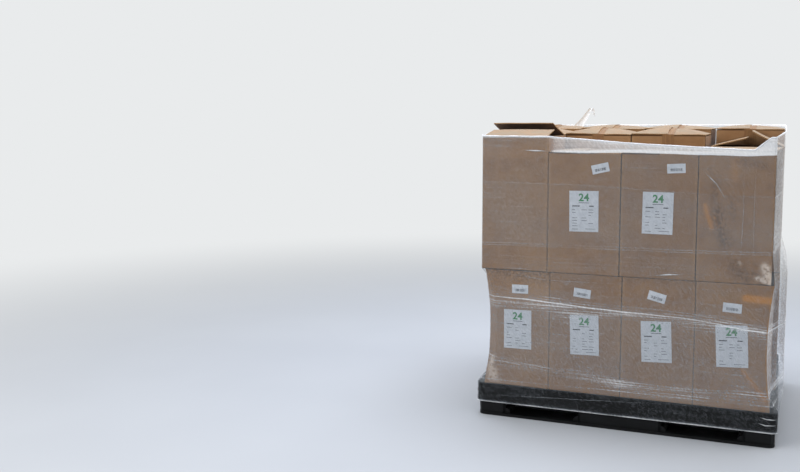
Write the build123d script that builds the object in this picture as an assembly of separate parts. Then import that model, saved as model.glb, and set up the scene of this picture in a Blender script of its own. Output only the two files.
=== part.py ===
from build123d import *
import math
import os

os.makedirs("parts", exist_ok=True)

# A pallet load of cartons: a moulded plastic pallet, two layers of taped cartons, and the
# stretch film that is wound round the cartons and the pallet's lip.
# Frame: X along the pallet's long front, Y away from the front, Z up.
# The origin is on the floor, under the middle of the pallet. Millimetres.

# Pallet deck
PALLET_LENGTH = 1219.0
PALLET_DEPTH = 1016.0
PALLET_HEIGHT = 142.0
LIP_HEIGHT = 82.0
LIP_WALL = 6.0
DECK_SKIN = 7.0
CORNER_RADIUS = 30.0
RIB_THICKNESS = 5.0
RIB_SPACING = 110.0

# Pallet feet and the base frame that is snapped on under them
BASE_THICKNESS = 12.0
FOOT_INSET = 7.0
END_FOOT_LENGTH = 122.5
MIDDLE_FOOT_LENGTH = 346.0
END_FOOT_DEPTH = 122.5
MIDDLE_FOOT_DEPTH = 250.0
FOOT_TAPER = 5.0
FOOT_EDGE_CUT = 10.0
FOOT_TOE_RADIUS = 22.0
BASE_EDGE_CHAMFER = 8.0
SEAT_CLEARANCE = 0.3

# Cartons: their footprint divides what the margins leave of the deck
COLUMNS = 4
ROWS = 3
LOAD_END_MARGIN = 29.5
LOAD_FRONT_MARGIN = 1.0
CARTON_HEIGHT = 501.0
CARTON_GAP = 1.5
BOARD = 4.0
EDGE_CHAMFER = 4.0
FLAP_LENGTH = 145.0
FLAP_SIDE_GAP = 5.0
FLAP_CORNER_CUT = 8.0
FLAP_MEETING_GAP = 2.5
FLAP_EDGE_SLIT = 2.0
FLAP_SLIT_DEPTH = 7.0

# How much taller than the rest some cartons of the upper layer are
FRONT_LEFT_EXTRA = 64.5
OPEN_CARTON_EXTRA = 20.0
MIDDLE_ROW_EXTRA = 69.5
REAR_ROW_EXTRA = 90.0
MIDDLE_ROW_CROWN = 26.0
REAR_ROW_CROWN = 15.0
FRONT_ROW_CROWN = 7.0

# How far each seam between columns has drifted along X, from left to right
LOWER_DRIFT = (4.0, -3.0, 4.0, 1.0, -1.0)
UPPER_DRIFT = (-11.0, -16.0, -10.0, -3.0, -13.0)
MIDDLE_ROW_DRIFT = (0.0, -2.0, -12.0, 0.0, 0.0)
OUTER_COLUMN_SHIFT = 20.0
OUTER_COLUMN_GROWTH = 10.0

# The dent that the film has pulled into the outer edge of the lower left carton
DENT_DEPTH = 40.0
DENT_LOW = 60.0
DENT_FULL_FROM = 130.0
DENT_FULL_BELOW_TOP = 171.0
DENT_END_BELOW_TOP = 23.0

# Angles of the raised flaps, in degrees above level
FRONT_FLAP_ANGLE = 11.0
REAR_FLAP_ANGLE = 23.0
REAR_FLAP_SKEW = -20.0
LEFT_FLAP_ANGLE = 15.0
RIGHT_FLAP_ANGLE = 28.0

# Paper and tape
LABEL_WIDTH = 119.0
LABEL_HEIGHT = 168.0
STICKER_WIDTH = 70.0
STICKER_HEIGHT = 37.0
PAPER_THICKNESS = 0.3
TAPE_WIDTH = 50.0
TAPE_DROP = 65.0
TAPE_THICKNESS = 0.4

# Stretch film
FILM_THICKNESS = 0.6
FILM_OFF_CARTON = 0.9
FILM_OFF_PALLET = 0.3
FILM_CORNER_CLEARANCE = 0.6
FILM_PALLET_CUT = 15.0
FILM_HEM_ABOVE_LIP_EDGE = 1.0
FILM_STEP_HEIGHT = 50.0
FILM_LEAN_HEIGHT = 110.0
FILM_BAND = 60.0

# The film's rim: how far it stands above the open carton at the left, above the front row,
# and above the rear row; and where its lowest point lies from the right end of the front
FILM_OVER_LEFT = 2.4
FILM_LEFT_FALL = 2.0
FILM_OVER_MIDDLE = 38.4
FILM_MIDDLE_PAST_SEAM = 60.0
FILM_OVER_LOWEST = 17.4
FILM_LOWEST_FROM_END = 77.0
FILM_OVER_RIGHT = 66.4
FILM_RIGHT_FROM_END = 20.0
FILM_OVER_BACK = 1.4
FILM_BACK_FALL = 2.0
FILM_SIDE_SAG = 14.0

# The film's loose end: its place from the load's left side, its size, and the points of its
# bend as shares of its reach and its rise
TAIL_WIDTH = 22.0
TAIL_THICKNESS = 1.2
TAIL_FROM_LEFT = 206.0
TAIL_ROOT_OVERLAP = 8.0
TAIL_REACH = 100.0
TAIL_RISE = 95.0
TAIL_BEND = ((-0.12, 0.0), (0.38, 0.52), (0.72, 1.0), (0.92, 0.62))

deck_top = PALLET_HEIGHT
lip_bottom = PALLET_HEIGHT - LIP_HEIGHT
column_pitch = (PALLET_LENGTH - 2 * LOAD_END_MARGIN) / COLUMNS
row_pitch = (PALLET_DEPTH - 2 * LOAD_FRONT_MARGIN) / ROWS
carton_width = column_pitch - CARTON_GAP
carton_depth = row_pitch - CARTON_GAP
lower_floor = deck_top + SEAT_CLEARANCE
lower_top = lower_floor + CARTON_HEIGHT
upper_floor = lower_top + SEAT_CLEARANCE
upper_top = upper_floor + CARTON_HEIGHT
rear_row_top = upper_top + REAR_ROW_EXTRA + REAR_ROW_CROWN
front_face_y = -ROWS * row_pitch / 2 + CARTON_GAP / 2
dent_full_to = CARTON_HEIGHT - DENT_FULL_BELOW_TOP
dent_high = CARTON_HEIGHT - DENT_END_BELOW_TOP
film_rim_back = rear_row_top + FILM_OVER_BACK

# How far a cut runs past the faces that it goes through
CUT_PAST = 1.0


def box_between(low, high):
    """Solid box between two corners."""
    size = [high[i] - low[i] for i in range(3)]
    centre = [(high[i] + low[i]) / 2 for i in range(3)]
    return Pos(*centre) * Box(*size)


def save(node, shape):
    """Write one node, as a single solid or as a compound of like solids."""
    solids = shape.solids()
    result = solids[0] if len(solids) == 1 else Compound(children=list(solids))
    result.label = node
    export_step(result, f"parts/{node}.step")


def foot_spans(length, end_foot, middle_foot):
    """Start and end of the three feet along one side, from the lowest to the highest."""
    half = length / 2 - FOOT_INSET
    return (
        (-half, -half + end_foot),
        (-middle_foot / 2, middle_foot / 2),
        (half - end_foot, half),
    )


feet_x = foot_spans(PALLET_LENGTH, END_FOOT_LENGTH, MIDDLE_FOOT_LENGTH)
feet_y = foot_spans(PALLET_DEPTH, END_FOOT_DEPTH, MIDDLE_FOOT_DEPTH)


def rounded_block(x_span, y_span, z_low, z_high, radius):
    """Upright block with rounded vertical edges."""
    block = box_between((x_span[0], y_span[0], z_low), (x_span[1], y_span[1], z_high))
    return fillet(block.edges().filter_by(Axis.Z), radius)


def chamfered_block(x_span, y_span, z_low, z_high, cut):
    """Upright block whose vertical edges are cut off, as the folded edges of a carton are."""
    block = box_between((x_span[0], y_span[0], z_low), (x_span[1], y_span[1], z_high))
    return chamfer(block.edges().filter_by(Axis.Z), cut)


def bevelled_rectangle(length, depth):
    """Rectangle in its own plane with its corners cut off."""
    half_x, half_y = length / 2, depth / 2
    corners = []
    for side_x, side_y in ((-1, -1), (1, -1), (1, 1), (-1, 1)):
        on_long_side = (side_x * (half_x - FOOT_EDGE_CUT), side_y * half_y)
        on_short_side = (side_x * half_x, side_y * (half_y - FOOT_EDGE_CUT))
        if side_x == side_y:
            corners += [on_short_side, on_long_side]
        else:
            corners += [on_long_side, on_short_side]
    return make_face(Polyline(*corners, close=True))


def tapered_foot(x_span, y_span):
    """Moulded foot that narrows towards the floor."""
    centre_x = sum(x_span) / 2
    centre_y = sum(y_span) / 2
    length = x_span[1] - x_span[0]
    depth = y_span[1] - y_span[0]
    top = Plane((centre_x, centre_y, deck_top - DECK_SKIN)) * bevelled_rectangle(length, depth)
    bottom = Plane((centre_x, centre_y, BASE_THICKNESS)) * bevelled_rectangle(
        length - 2 * FOOT_TAPER, depth - 2 * FOOT_TAPER
    )
    return loft([bottom, top], ruled=True)


def foot_toe(width):
    """Hollow-rounded toe where a foot runs out on the base; it runs along X from its foot."""
    root = -2 * FOOT_TAPER
    outline = make_face(
        Polyline((FOOT_TOE_RADIUS, 0), (root, 0), (root, FOOT_TOE_RADIUS), (0, FOOT_TOE_RADIUS))
        + RadiusArc((0, FOOT_TOE_RADIUS), (FOOT_TOE_RADIUS, 0), FOOT_TOE_RADIUS)
    )
    side = Plane(origin=(0, width / 2, 0), x_dir=(1, 0, 0), z_dir=(0, -1, 0)) * outline
    return extrude(side, width)


def foot_toes(column, row):
    """Toes of one foot, on each side that has another foot beyond it."""
    x_span, y_span = feet_x[column], feet_y[row]
    centre_x = sum(x_span) / 2
    centre_y = sum(y_span) / 2
    wide_x = x_span[1] - x_span[0] - 2 * (FOOT_TAPER + FOOT_EDGE_CUT)
    wide_y = y_span[1] - y_span[0] - 2 * (FOOT_TAPER + FOOT_EDGE_CUT)
    toes = []
    if column < 2:
        toes.append(Pos(x_span[1] - FOOT_TAPER, centre_y, BASE_THICKNESS) * foot_toe(wide_y))
    if column > 0:
        toes.append(Pos(x_span[0] + FOOT_TAPER, centre_y, BASE_THICKNESS) * Rot(0, 0, 180) * foot_toe(wide_y))
    if row < 2:
        toes.append(Pos(centre_x, y_span[1] - FOOT_TAPER, BASE_THICKNESS) * Rot(0, 0, 90) * foot_toe(wide_x))
    if row > 0:
        toes.append(Pos(centre_x, y_span[0] + FOOT_TAPER, BASE_THICKNESS) * Rot(0, 0, -90) * foot_toe(wide_x))
    return toes


def pallet_deck():
    """Deck with its lip, the grid of ribs under its skin and its nine feet, moulded in one."""
    half_x = PALLET_LENGTH / 2
    half_y = PALLET_DEPTH / 2
    deck = rounded_block((-half_x, half_x), (-half_y, half_y), lip_bottom, deck_top, CORNER_RADIUS)
    grid_length = PALLET_LENGTH - 2 * LIP_WALL + RIB_THICKNESS
    grid_depth = PALLET_DEPTH - 2 * LIP_WALL + RIB_THICKNESS
    bays_x = round(grid_length / RIB_SPACING)
    bays_y = round(grid_depth / RIB_SPACING)
    pocket_length = grid_length / bays_x - RIB_THICKNESS
    pocket_depth = grid_depth / bays_y - RIB_THICKNESS
    pocket_top = deck_top - DECK_SKIN
    pocket = box_between(
        (-pocket_length / 2, -pocket_depth / 2, lip_bottom - CUT_PAST),
        (pocket_length / 2, pocket_depth / 2, pocket_top),
    )
    inside = rounded_block(
        (-half_x + LIP_WALL, half_x - LIP_WALL),
        (-half_y + LIP_WALL, half_y - LIP_WALL),
        lip_bottom - CUT_PAST,
        pocket_top,
        CORNER_RADIUS - LIP_WALL,
    )
    places = GridLocations(grid_length / bays_x, grid_depth / bays_y, bays_x, bays_y)
    deck = deck - (inside & Compound(children=[place * pocket for place in places]))
    for column, foot_x in enumerate(feet_x):
        for row, foot_y in enumerate(feet_y):
            deck = deck + tapered_foot(foot_x, foot_y)
            for toe in foot_toes(column, row):
                deck = deck + toe
    return deck


def pallet_base():
    """Flat base frame with four windows, whose edges are bevelled for pallet truck wheels."""
    half_x = PALLET_LENGTH / 2 - FOOT_INSET
    half_y = PALLET_DEPTH / 2 - FOOT_INSET
    top = BASE_THICKNESS
    base = rounded_block((-half_x, half_x), (-half_y, half_y), 0, top, CORNER_RADIUS)
    for left, right in zip(feet_x[:-1], feet_x[1:]):
        for near, far in zip(feet_y[:-1], feet_y[1:]):
            centre_x = (left[1] + right[0]) / 2
            centre_y = (near[1] + far[0]) / 2
            length = right[0] - left[1]
            depth = far[0] - near[1]
            window = Pos(centre_x, centre_y, top / 2) * Box(length, depth, 2 * top)
            bevel_start = Plane((centre_x, centre_y, top - BASE_EDGE_CHAMFER)) * Rectangle(length, depth)
            bevel_end = Plane((centre_x, centre_y, top + CUT_PAST)) * Rectangle(
                length + 2 * (BASE_EDGE_CHAMFER + CUT_PAST), depth + 2 * (BASE_EDGE_CHAMFER + CUT_PAST)
            )
            base = base - window - loft([bevel_start, bevel_end], ruled=True)
    return base


def seam_x(index, drift):
    """Place of a seam between columns; index 0 is the left side of the load."""
    return (index - COLUMNS / 2) * column_pitch + drift[index]


def x_span(column, row, drift):
    """Left and right side of a carton."""
    left = seam_x(column, drift) + CARTON_GAP / 2
    right = seam_x(column + 1, drift) - CARTON_GAP / 2
    if row > 0 and column == COLUMNS - 1:
        left += OUTER_COLUMN_SHIFT
        right += OUTER_COLUMN_SHIFT + (OUTER_COLUMN_GROWTH if drift[-1] < LOWER_DRIFT[-1] else 0)
    return left, right


def y_span(row):
    """Front and back of a carton."""
    front = front_face_y + row * row_pitch
    return front, front + carton_depth


def carton_block(xs, ys, floor, height, crown=0.0):
    """Closed carton; crown is how far its flaps bulge up in the middle of its top."""
    top = floor + height
    block = chamfered_block(xs, ys, floor, top + crown, EDGE_CHAMFER)
    if crown <= 0:
        return block
    for span, turn in ((xs, Rot(90, 0, 0)), (ys, Rot(0, 90, 0))):
        half = (span[1] - span[0]) / 2
        radius = (half**2 + crown**2) / (2 * crown)
        vault = Cylinder(radius, 2 * (carton_depth + carton_width))
        block = block & (Pos(sum(xs) / 2, sum(ys) / 2, top + crown - radius) * turn * vault)
    return block


def closed_carton(xs, ys, floor, height, crown):
    """Carton with the line where its long flaps meet and the slits under their ends."""
    carton = carton_block(xs, ys, floor, height, crown)
    middle_x = sum(xs) / 2
    top = floor + height
    groove = box_between(
        (middle_x - FLAP_MEETING_GAP / 2, ys[0] - CUT_PAST, top - BOARD),
        (middle_x + FLAP_MEETING_GAP / 2, ys[1] + CUT_PAST, top + crown + CUT_PAST),
    )
    carton = carton - groove
    slit_spans = (
        (xs[0] + BOARD, middle_x - TAPE_WIDTH / 2),
        (middle_x + TAPE_WIDTH / 2, xs[1] - BOARD),
    )
    for face, inward in ((ys[0], 1), (ys[1], -1)):
        edges = sorted((face - inward * CUT_PAST, face + inward * FLAP_SLIT_DEPTH))
        for start, end in slit_spans:
            slit = box_between(
                (start, edges[0], top - BOARD - FLAP_EDGE_SLIT), (end, edges[1], top - BOARD)
            )
            carton = carton - slit
    return carton


def dented_carton(xs, ys, floor):
    """Lower left carton, with its outer front edge pulled in by the film."""
    levels = (
        (0.0, EDGE_CHAMFER),
        (DENT_LOW, EDGE_CHAMFER + DENT_DEPTH / 3),
        (DENT_FULL_FROM, DENT_DEPTH),
        (dent_full_to, DENT_DEPTH),
        (dent_high, EDGE_CHAMFER + DENT_DEPTH / 4),
        (CARTON_HEIGHT, EDGE_CHAMFER),
    )
    sections = []
    for height, cut in levels:
        outline = Polyline(
            (xs[0] + cut, ys[0]),
            (xs[1] - EDGE_CHAMFER, ys[0]),
            (xs[1], ys[0] + EDGE_CHAMFER),
            (xs[1], ys[1] - EDGE_CHAMFER),
            (xs[1] - EDGE_CHAMFER, ys[1]),
            (xs[0] + EDGE_CHAMFER, ys[1]),
            (xs[0], ys[1] - EDGE_CHAMFER),
            (xs[0], ys[0] + cut),
            close=True,
        )
        sections.append(Pos(0, 0, floor + height) * make_face(outline))
    return loft(sections, ruled=True)


def flap(corner, along, out, length, reach, skew=0.0):
    """One raised flap: a board from its hinge corner, along the hinge and out to its free edge."""
    hinge = Vector(*along).normalized()
    slope = Vector(*out).normalized()
    plane = Plane(origin=corner, x_dir=hinge, z_dir=hinge.cross(slope))
    outline = Polyline(
        (0, 0),
        (length, 0),
        (length + skew - FLAP_CORNER_CUT / 2, reach),
        (skew + FLAP_CORNER_CUT / 2, reach),
        close=True,
    )
    return extrude(plane * make_face(outline), BOARD)


def open_carton(xs, ys, floor, height):
    """Open carton without its flaps."""
    shell = carton_block(xs, ys, floor, height)
    inside = box_between(
        (xs[0] + BOARD, ys[0] + BOARD, floor + BOARD),
        (xs[1] - BOARD, ys[1] - BOARD, floor + height + CUT_PAST),
    )
    return shell - inside


def tucked_flap_x(xs, ys, top, side):
    """Long flap folded down inside, against the left (-1) or right (+1) wall."""
    wall = xs[0] + BOARD if side < 0 else xs[1] - BOARD
    inner = wall - side * BOARD
    low, high = sorted((wall, inner))
    return box_between(
        (low, ys[0] + BOARD + FLAP_SIDE_GAP, top - FLAP_LENGTH),
        (high, ys[1] - BOARD - FLAP_SIDE_GAP, top),
    )


def front_left_carton(xs, ys, floor):
    """Open carton of the front row: short flaps half raised, long flaps tucked in."""
    height = CARTON_HEIGHT + FRONT_LEFT_EXTRA
    top = floor + height
    carton = open_carton(xs, ys, floor, height)
    for side in (-1, 1):
        carton = carton + tucked_flap_x(xs, ys, top, side)
    width = xs[1] - xs[0] - 2 * FLAP_SIDE_GAP
    rise = math.radians(FRONT_FLAP_ANGLE)
    front = flap(
        (xs[0] + FLAP_SIDE_GAP, ys[0] + BOARD / 4, top - BOARD / 2),
        (1, 0, 0),
        (0, math.cos(rise), math.sin(rise)),
        width,
        FLAP_LENGTH,
    )
    lean = math.radians(REAR_FLAP_ANGLE)
    rear = flap(
        (xs[1] - FLAP_SIDE_GAP, ys[1] - BOARD / 2, top - BOARD / 2),
        (-1, 0, 0),
        (0, -math.cos(lean), math.sin(lean)),
        width,
        FLAP_LENGTH,
        skew=-REAR_FLAP_SKEW,
    )
    return carton + front + rear


def open_side_carton(xs, ys, floor, front_carton_top):
    """Open carton behind the front row: long flaps raised like a roof, front flap folded out."""
    height = CARTON_HEIGHT + OPEN_CARTON_EXTRA
    top = floor + height
    carton = open_carton(xs, ys, floor, height)
    depth = ys[1] - ys[0] - 2 * FLAP_SIDE_GAP
    left_rise = math.radians(LEFT_FLAP_ANGLE)
    left = flap(
        (xs[0] + BOARD / 4, ys[1] - FLAP_SIDE_GAP, top - BOARD / 2),
        (0, -1, 0),
        (math.cos(left_rise), 0, math.sin(left_rise)),
        depth,
        FLAP_LENGTH,
    )
    right_rise = math.radians(RIGHT_FLAP_ANGLE)
    right = flap(
        (xs[1] - BOARD / 2, ys[0] + FLAP_SIDE_GAP, top - BOARD / 2),
        (0, 1, 0),
        (-math.cos(right_rise), 0, math.sin(right_rise)),
        depth,
        FLAP_LENGTH,
    )
    rest_height = front_carton_top + FRONT_ROW_CROWN + SEAT_CLEARANCE
    hinge_height = top - BOARD
    droop = math.asin((hinge_height - rest_height) / FLAP_LENGTH)
    front = flap(
        (xs[1] - FLAP_SIDE_GAP, ys[0] + BOARD / 2, hinge_height),
        (-1, 0, 0),
        (0, -math.cos(droop), -math.sin(droop)),
        xs[1] - xs[0] - 2 * FLAP_SIDE_GAP,
        FLAP_LENGTH,
        skew=OUTER_COLUMN_SHIFT,
    )
    tucked = box_between(
        (xs[0] + BOARD + FLAP_SIDE_GAP, ys[1] - 2 * BOARD, top - FLAP_LENGTH),
        (xs[1] - BOARD - FLAP_SIDE_GAP, ys[1] - BOARD, top),
    )
    return carton + left + right + front + tucked


def upper_size(row):
    """Height and crown of the closed cartons in a row of the upper layer."""
    extras = (0.0, MIDDLE_ROW_EXTRA, REAR_ROW_EXTRA)
    crowns = (FRONT_ROW_CROWN, MIDDLE_ROW_CROWN, REAR_ROW_CROWN)
    return CARTON_HEIGHT + extras[row], crowns[row]


def upper_drift(row):
    """Seam drift of a row of the upper layer."""
    extra = MIDDLE_ROW_DRIFT if row == 1 else (0.0,) * (COLUMNS + 1)
    return tuple(base + more for base, more in zip(UPPER_DRIFT, extra))


def upper_span(column, row):
    """Left and right side of a carton of the upper layer."""
    return x_span(column, row, upper_drift(row))


def arch(ys, base, top, crown, out):
    """Face in the YZ plane under a carton's crowned top, with its sides and top moved out."""
    low, high = ys[0] - out, ys[1] + out
    sides = Polyline((low, top + out), (low, base), (high, base), (high, top + out))
    vault = ThreePointArc((high, top + out), ((low + high) / 2, top + crown + out), (low, top + out))
    return make_face(sides + vault)


def tape_strip(column, row):
    """Tape over the line where the flaps meet, down the front and back of one carton."""
    xs = upper_span(column, row)
    ys = y_span(row)
    height, crown = upper_size(row)
    top = upper_floor + height
    outer = arch(ys, top - TAPE_DROP, top, crown, SEAT_CLEARANCE + TAPE_THICKNESS)
    inner = arch(ys, top - TAPE_DROP - CUT_PAST, top, crown, SEAT_CLEARANCE)
    left_side = Plane(origin=(sum(xs) / 2 - TAPE_WIDTH / 2, 0, 0), x_dir=(0, 1, 0), z_dir=(1, 0, 0))
    return extrude(left_side * (outer - inner), TAPE_WIDTH)


def paper(centre_x, centre_z, width, height, tilt=0.0):
    """Paper stuck on the front of the front row, turned by tilt in degrees."""
    sheet = Box(width, PAPER_THICKNESS, height)
    return Pos(centre_x, front_face_y - PAPER_THICKNESS / 2, centre_z) * Rot(0, -tilt, 0) * sheet


# Labels: column, layer floor, offset from the carton's middle, height above its floor, tilt
LABELS = (
    (1, upper_floor, 1.0, 261.0, 0.8),
    (2, upper_floor, -2.0, 264.0, -0.5),
    (0, lower_floor, 5.0, 248.0, 0.5),
    (1, lower_floor, -1.0, 247.0, 1.9),
    (2, lower_floor, -3.0, 244.0, 2.6),
    (3, lower_floor, -3.0, 252.0, 3.0),
)
# Stickers: the same, but with their depth below the carton's top
STICKERS = (
    (1, upper_floor, 65.0, 63.0, 13.0),
    (2, upper_floor, 65.0, 58.0, 3.0),
    (0, lower_floor, 14.0, 79.0, 1.0),
    (1, lower_floor, -13.0, 79.0, -6.0),
    (2, lower_floor, -5.0, 74.0, -14.0),
    (3, lower_floor, -6.0, 97.0, -3.0),
)


def papers(places, width, height, below_top):
    """All the papers of one kind, placed by their height above the floor or below the top."""
    sheets = []
    for column, floor, offset, distance, tilt in places:
        xs = upper_span(column, 0) if floor == upper_floor else x_span(column, 0, LOWER_DRIFT)
        centre_z = floor + (CARTON_HEIGHT - distance if below_top else distance)
        sheets.append(paper(sum(xs) / 2 + offset, centre_z, width, height, tilt))
    return Compound(children=sheets)


def wrap_outline(left, right_front, right_back, half_depth, cuts):
    """Corners of the film's outline, anticlockwise from the front left corner."""
    front_left, others = cuts
    kink_y = y_span(1)[0]
    return (
        (left, -half_depth + front_left),
        (left + front_left, -half_depth),
        (right_front - others, -half_depth),
        (right_front, -half_depth + others),
        (right_back, kink_y),
        (right_back, half_depth - others),
        (right_back - others, half_depth),
        (left + others, half_depth),
        (left, half_depth - others),
    )


def film_levels(offset):
    """Outlines of the film from its hem to above its rim, offset outwards from what it wraps."""
    lower_left = seam_x(0, LOWER_DRIFT) + CARTON_GAP / 2
    lower_right = seam_x(COLUMNS, LOWER_DRIFT) - CARTON_GAP / 2
    lower_back = x_span(COLUMNS - 1, ROWS - 1, LOWER_DRIFT)[1]
    upper_left = seam_x(0, UPPER_DRIFT) + CARTON_GAP / 2
    upper_right = seam_x(COLUMNS, UPPER_DRIFT) - CARTON_GAP / 2
    upper_back = upper_span(COLUMNS - 1, ROWS - 1)[1]
    half_carton = -front_face_y
    half_x = PALLET_LENGTH / 2
    half_y = PALLET_DEPTH / 2
    around = 2 * FILM_OFF_CARTON - FILM_CORNER_CLEARANCE
    cut = EDGE_CHAMFER + around
    dent = DENT_DEPTH + around
    shallow = EDGE_CHAMFER + DENT_DEPTH / 5 + around
    pallet_cut = FILM_PALLET_CUT
    pallet = (-half_x, half_x, half_x, half_y)
    widest = (min(lower_left, upper_left), max(lower_right, upper_right), max(lower_back, upper_back))
    lower = (lower_left, lower_right, lower_back, half_carton)
    upper = (upper_left, upper_right, upper_back, half_carton)
    rows = (
        (lip_bottom + FILM_HEM_ABOVE_LIP_EDGE, pallet, (pallet_cut, pallet_cut), FILM_OFF_PALLET),
        (deck_top, pallet, (pallet_cut, pallet_cut), FILM_OFF_PALLET),
        (deck_top + FILM_STEP_HEIGHT, lower, (shallow, cut), FILM_OFF_CARTON),
        (lower_floor + DENT_FULL_FROM, lower, (dent, cut), FILM_OFF_CARTON),
        (lower_floor + dent_full_to, lower, (dent, cut), FILM_OFF_CARTON),
        (lower_floor + dent_high, lower, (shallow, cut), FILM_OFF_CARTON),
        (lower_top, (*widest, half_carton), (cut, cut), FILM_OFF_CARTON),
        (upper_floor, (*widest, half_carton), (cut, cut), FILM_OFF_CARTON),
        (upper_floor + FILM_LEAN_HEIGHT, upper, (cut, cut), FILM_OFF_CARTON),
        (film_rim_back + FILM_BAND, upper, (cut, cut), FILM_OFF_CARTON),
    )
    levels = []
    for height, (left, right_front, right_back, half_depth), cuts, clearance in rows:
        out = clearance + offset
        corners = wrap_outline(left - out, right_front + out, right_back + out, half_depth + out, cuts)
        levels.append((height, corners))
    return levels


def film_body(offset, extend):
    """Solid bounded by the film's inner (offset 0) or outer face."""
    faces = []
    levels = film_levels(offset)
    first = (levels[0][0] - extend, levels[0][1])
    for height, corners in [first, *levels[1:]]:
        faces.append(Pos(0, 0, height) * make_face(Polyline(*corners, close=True)))
    return loft(faces, ruled=True)


def above(points, along_x, span):
    """Solid above a rim line; points run along X or Y, span is its reach across that."""
    high = film_rim_back + 2 * FILM_BAND
    outline = [*points, (points[-1][0], high), (points[0][0], high)]
    face = make_face(Polyline(*outline, close=True))
    if along_x:
        sheet = Plane(origin=(0, span[0], 0), x_dir=(1, 0, 0), z_dir=(0, -1, 0)) * face
        return extrude(sheet, -(span[1] - span[0]))
    sheet = Plane(origin=(span[0], 0, 0), x_dir=(0, 1, 0), z_dir=(1, 0, 0)) * face
    return extrude(sheet, span[1] - span[0])


def film_tail():
    """Loose end of the film, standing up over the back rim."""
    root_x = seam_x(0, UPPER_DRIFT) + TAIL_FROM_LEFT
    root_z = film_rim_back - FILM_BACK_FALL - TAIL_ROOT_OVERLAP
    points = [(root_x + along * TAIL_REACH, root_z + up * TAIL_RISE) for along, up in TAIL_BEND]
    profile = trace(Spline(*points), TAIL_THICKNESS)
    back = -front_face_y + FILM_OFF_CARTON + FILM_THICKNESS
    sheet = Plane(origin=(0, back - TAIL_WIDTH, 0), x_dir=(1, 0, 0), z_dir=(0, -1, 0)) * profile
    return extrude(sheet, -TAIL_WIDTH)


def stretch_film():
    """The film: a thin sleeve round the load, cut off along its uneven upper rim."""
    sleeve = film_body(FILM_THICKNESS, 0.0) - film_body(0.0, CUT_PAST)
    reach_x = PALLET_LENGTH / 2 + FILM_BAND
    reach_y = PALLET_DEPTH / 2 + FILM_BAND
    left_end = seam_x(1, UPPER_DRIFT)
    right_end = seam_x(COLUMNS, UPPER_DRIFT)
    rim_left = upper_top + FRONT_LEFT_EXTRA + FILM_OVER_LEFT
    rim_right = upper_top + FILM_OVER_RIGHT
    rim_back_left = film_rim_back - FILM_BACK_FALL
    front_rim = (
        (-reach_x, rim_left),
        (left_end, rim_left - FILM_LEFT_FALL),
        (seam_x(2, UPPER_DRIFT) + FILM_MIDDLE_PAST_SEAM, upper_top + FILM_OVER_MIDDLE),
        (right_end - FILM_LOWEST_FROM_END, upper_top + FILM_OVER_LOWEST),
        (right_end - FILM_RIGHT_FROM_END, rim_right),
        (reach_x, rim_right),
    )
    side_right = ((-reach_y, rim_right), (0, film_rim_back - FILM_SIDE_SAG), (reach_y, film_rim_back))
    side_left = ((-reach_y, rim_left), (reach_y, rim_back_left))
    back_rim = ((-reach_x, rim_back_left), (reach_x, film_rim_back))
    front_cut = (-reach_y, front_face_y + EDGE_CHAMFER)
    back_cut = (-front_face_y - EDGE_CHAMFER, reach_y)
    right_cut = (right_end - FILM_RIGHT_FROM_END / 2, reach_x)
    left_cut = (-reach_x, seam_x(0, UPPER_DRIFT) + FILM_RIGHT_FROM_END / 2)
    sleeve = sleeve - above(front_rim, True, front_cut)
    sleeve = sleeve - above(back_rim, True, back_cut)
    sleeve = sleeve - above(side_right, False, right_cut)
    sleeve = sleeve - above(side_left, False, left_cut)
    return sleeve + film_tail()


save("pallet_deck", pallet_deck())
save("pallet_base", pallet_base())

ROW_NAMES = ("front", "middle", "rear")
lower_cartons = {}
upper_cartons = {}
for row, row_name in enumerate(ROW_NAMES):
    for column in range(COLUMNS):
        lower_x = x_span(column, row, LOWER_DRIFT)
        ys = y_span(row)
        name = f"{row_name}_{column + 1}"
        if row == 0 and column == 0:
            lower_cartons[name] = dented_carton(lower_x, ys, lower_floor)
        else:
            lower_cartons[name] = carton_block(lower_x, ys, lower_floor, CARTON_HEIGHT)
        upper_x = upper_span(column, row)
        if row == 0 and column == 0:
            upper_cartons[name] = front_left_carton(upper_x, ys, upper_floor)
        elif row == 1 and column == COLUMNS - 1:
            upper_cartons[name] = open_side_carton(upper_x, ys, upper_floor, upper_top)
        else:
            upper_cartons[name] = closed_carton(upper_x, ys, upper_floor, *upper_size(row))

for name, carton in lower_cartons.items():
    save(f"lower_carton_{name}", carton)
for name, carton in upper_cartons.items():
    save(f"upper_carton_{name}", carton)

taped = [(column, 1) for column in range(COLUMNS - 1)] + [(column, 2) for column in range(COLUMNS)]
save("carton_tape", Compound(children=[tape_strip(column, row) for column, row in taped]))
save("shipping_labels", papers(LABELS, LABEL_WIDTH, LABEL_HEIGHT, below_top=False))
save("barcode_stickers", papers(STICKERS, STICKER_WIDTH, STICKER_HEIGHT, below_top=True))
save("stretch_film", stretch_film())
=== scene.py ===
# Looks of a stretch wrapped pallet load: brown cartons, some of them open, on a black moulded
# pallet, in clear film. Metres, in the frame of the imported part: X along the long front, Z up.

import logging
import math
import random
from collections.abc import Callable, Iterable, Sequence
from dataclasses import dataclass, field
from enum import Enum
from typing import NamedTuple

import bmesh
import bpy
from bpy.types import Material, Mesh, Node, NodeSocket, NodeTree, Object
from mathutils import Matrix, Vector, noise
from mathutils.bvhtree import BVHTree


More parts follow.
